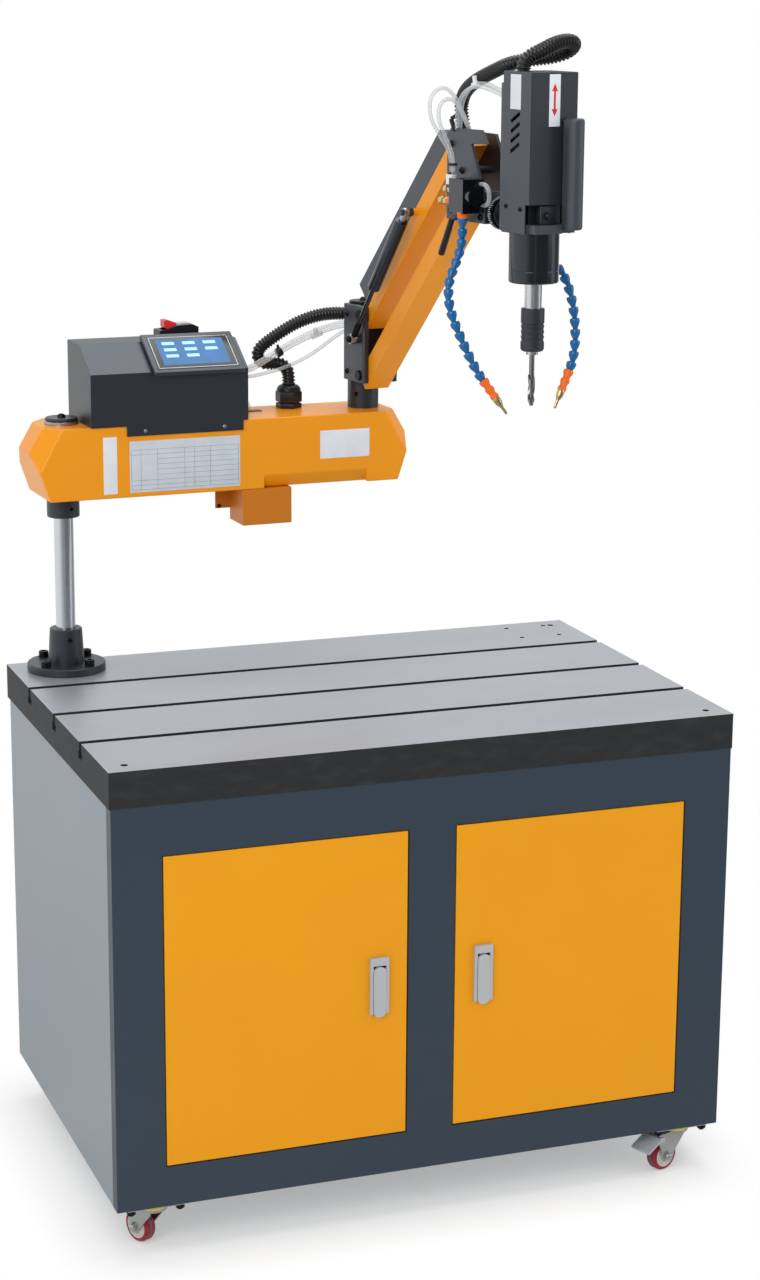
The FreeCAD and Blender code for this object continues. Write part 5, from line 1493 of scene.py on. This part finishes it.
@dataclass
class Studio:
    """The floor, the lights and the camera."""

    azimuth: float = -20.2526
    elevation: float = 13.7682
    roll: float = 0.3954
    focal_px: float = 2678.14
    frame_px: tuple[int, int] = (760, 1280)
    sensor: float = 36.0
    floor_half: float = 20.0
    floor_tone: Color = (0.93, 0.93, 0.93)
    position: Point = (-1.40851, -3.91513, 1.86038)
    ambient: float = 0.62
    # Painted reflection: glossy rays see the surroundings bright behind the machine and dim to the share
    # before it in front, which puts a sheen on the left faces.
    behind: Point = (-0.64, 0.77, 0.0)
    before: float = 0.2
    footprint: Point = (0.46, 0.31, 0.0)
    # Painted reflections: narrow bright panels that only glossy rays see, which draw streaks on the gloss
    # black parts; they light nothing.
    painted_reflection_panels: tuple[tuple[Point, float], ...] = (
        ((0.972, -0.232, 0.0), 0.982), ((-0.943, 0.333, 0.0), 0.988), ((-0.267, -0.963, 0.0), 0.9985))
    painted_panel_level: float = 0.9
    target: Point = (0.0, 0.0, 0.9)
    lamps: tuple[tuple[str, Point, float, float], ...] = (
        ("key", (-3.2, -3.6, 3.6), 3.0, 105), ("fill", (4.2, -2.6, 2.4), 2.6, 38),
        ("top", (0.6, 0.6, 4.6), 3.0, 70))

    def build(self) -> None:
        """Set the stage."""
        self.camera()
        self.world()
        self.floor()
        self.lights()
        bpy.context.scene.view_settings.view_transform = "Standard"

    def camera(self) -> None:
        """Stand the camera where it sees the machine from its front left."""
        data = bpy.data.cameras.new("camera")
        data.sensor_width = self.sensor
        data.lens = self.focal_px / max(self.frame_px) * self.sensor
        data.clip_end = 100
        turn, lift, roll = map(math.radians, (self.azimuth, self.elevation, self.roll))
        back = Vector((math.sin(turn) * math.cos(lift), -math.cos(turn) * math.cos(lift), math.sin(lift)))
        right = Vector(UP).cross(back).normalized()
        up = back.cross(right)
        tilted = right * math.cos(roll) + up * math.sin(roll)
        upright = up * math.cos(roll) - right * math.sin(roll)
        axes = Matrix((tilted, upright, back)).transposed().to_4x4()
        eye = added("camera", data)
        eye.matrix_world = Matrix.Translation(self.position) @ axes
        bpy.context.scene.camera = eye

    def seen(self, graph: Graph, place: bpy.types.NodeSocket, spread: float) -> tuple[Signal, Signal]:
        """How the surroundings look from where light is traced, with a painted reflection for glossy rays:
        brighter behind the machine, darker before it, and narrow bright panels that light nothing.

        Args:
            graph: the graph of the world or the floor.
            place: the direction or place that is looked at.
            spread: how far the reflected surroundings take to darken from behind the machine to before it.

        Returns:
            A mask of the rays that see the white surroundings, and the strength that they see.
        """
        rays = graph.add("ShaderNodeLightPath").outputs
        camera, glass, glossy = (Signal(graph, rays[f"Is {kind} Ray"])
                                 for kind in ("Camera", "Transmission", "Glossy"))
        straight = camera.larger(glass)
        shade = graph.along(place, self.behind).above(0.0, spread) * (1 - self.before) + self.before
        level = graph.vector("MULTIPLY", place, (1.0, 1.0, 0.0)).outputs[0]
        level = graph.vector("NORMALIZE", level).outputs[0]
        # Painted reflections: the bright panels that only glossy rays see.
        for way, edge in self.painted_reflection_panels:
            shade = shade.larger(graph.along(level, way).above(edge, soft=0.004) * self.painted_panel_level)
        return straight.larger(glossy), straight.larger(glossy * shade)

    def world(self) -> None:
        """Light the room evenly, show a white background to the camera, and give reflections painted
        surroundings: brighter behind, darker before, with narrow bright panels.
        """
        world = bpy.data.worlds.new("room")
        bpy.context.scene.world = world
        graph = Graph(world, "Background")
        way = graph.add("ShaderNodeTexCoord").outputs["Generated"]
        mask, strength = self.seen(graph, way, spread=1.4)
        graph.surface(Color=WHITE, Strength=(1 - mask) * self.ambient + strength)

    def floor(self) -> None:
        """Lay a pale floor that keeps the machine's shadow and turns white further off, where glossy rays see
        the same painted reflection as in the world.
        """
        mesh = bmesh.new()
        bmesh.ops.create_grid(mesh, x_segments=1, y_segments=1, size=self.floor_half)
        data = bpy.data.meshes.new("floor")
        mesh.to_mesh(data)
        mesh.free()
        material = bpy.data.materials.new("floor")
        graph = Graph(material)
        graph.surface(Base_Color=self.floor_tone, Roughness=0.9)
        place = graph.coordinates()
        mask, strength = self.seen(graph, place, spread=5.0)
        apart = graph.vector("ABSOLUTE", place).outputs[0]
        apart = graph.vector("SUBTRACT", apart, self.footprint).outputs[0]
        apart = graph.vector("MAXIMUM", apart, (0.0, 0.0, 0.0)).outputs[0]
        away = Signal(graph, graph.vector("LENGTH", apart).outputs["Value"])
        glow = graph.add("ShaderNodeEmission", {}, {"Strength": strength})
        mix = graph.add("ShaderNodeMixShader", {}, {0: mask * away.above(level=0.03, soft=0.2),
                                                    1: graph.shader.outputs[0], 2: glow.outputs[0]})
        graph.feed(graph.tree.nodes["Material Output"].inputs[0], mix.outputs[0])
        data.materials.append(material)
        added("floor", data)

    def lights(self) -> None:
        """Hang a broad key light, a fill and a top light."""
        for name, spot, size, power in self.lamps:
            data = bpy.data.lights.new(name, "AREA")
            data.size = size
            data.energy = power
            lamp = added(name, data)
            lamp.matrix_world = toward(Vector(spot), Vector(spot) - Vector(self.target))


def main() -> None:
    """Build the studio and the machine."""
    logging.basicConfig(level=logging.INFO)
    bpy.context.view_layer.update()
    Studio().build()
    for assembly in (Hoses(), Bench(), Casters(), Column(), FirstArm(), Controls(), SecondArm(), Bracket(),
                     Head(), Spindle()):
        assembly.build()


if __name__ == "__main__":
    main()
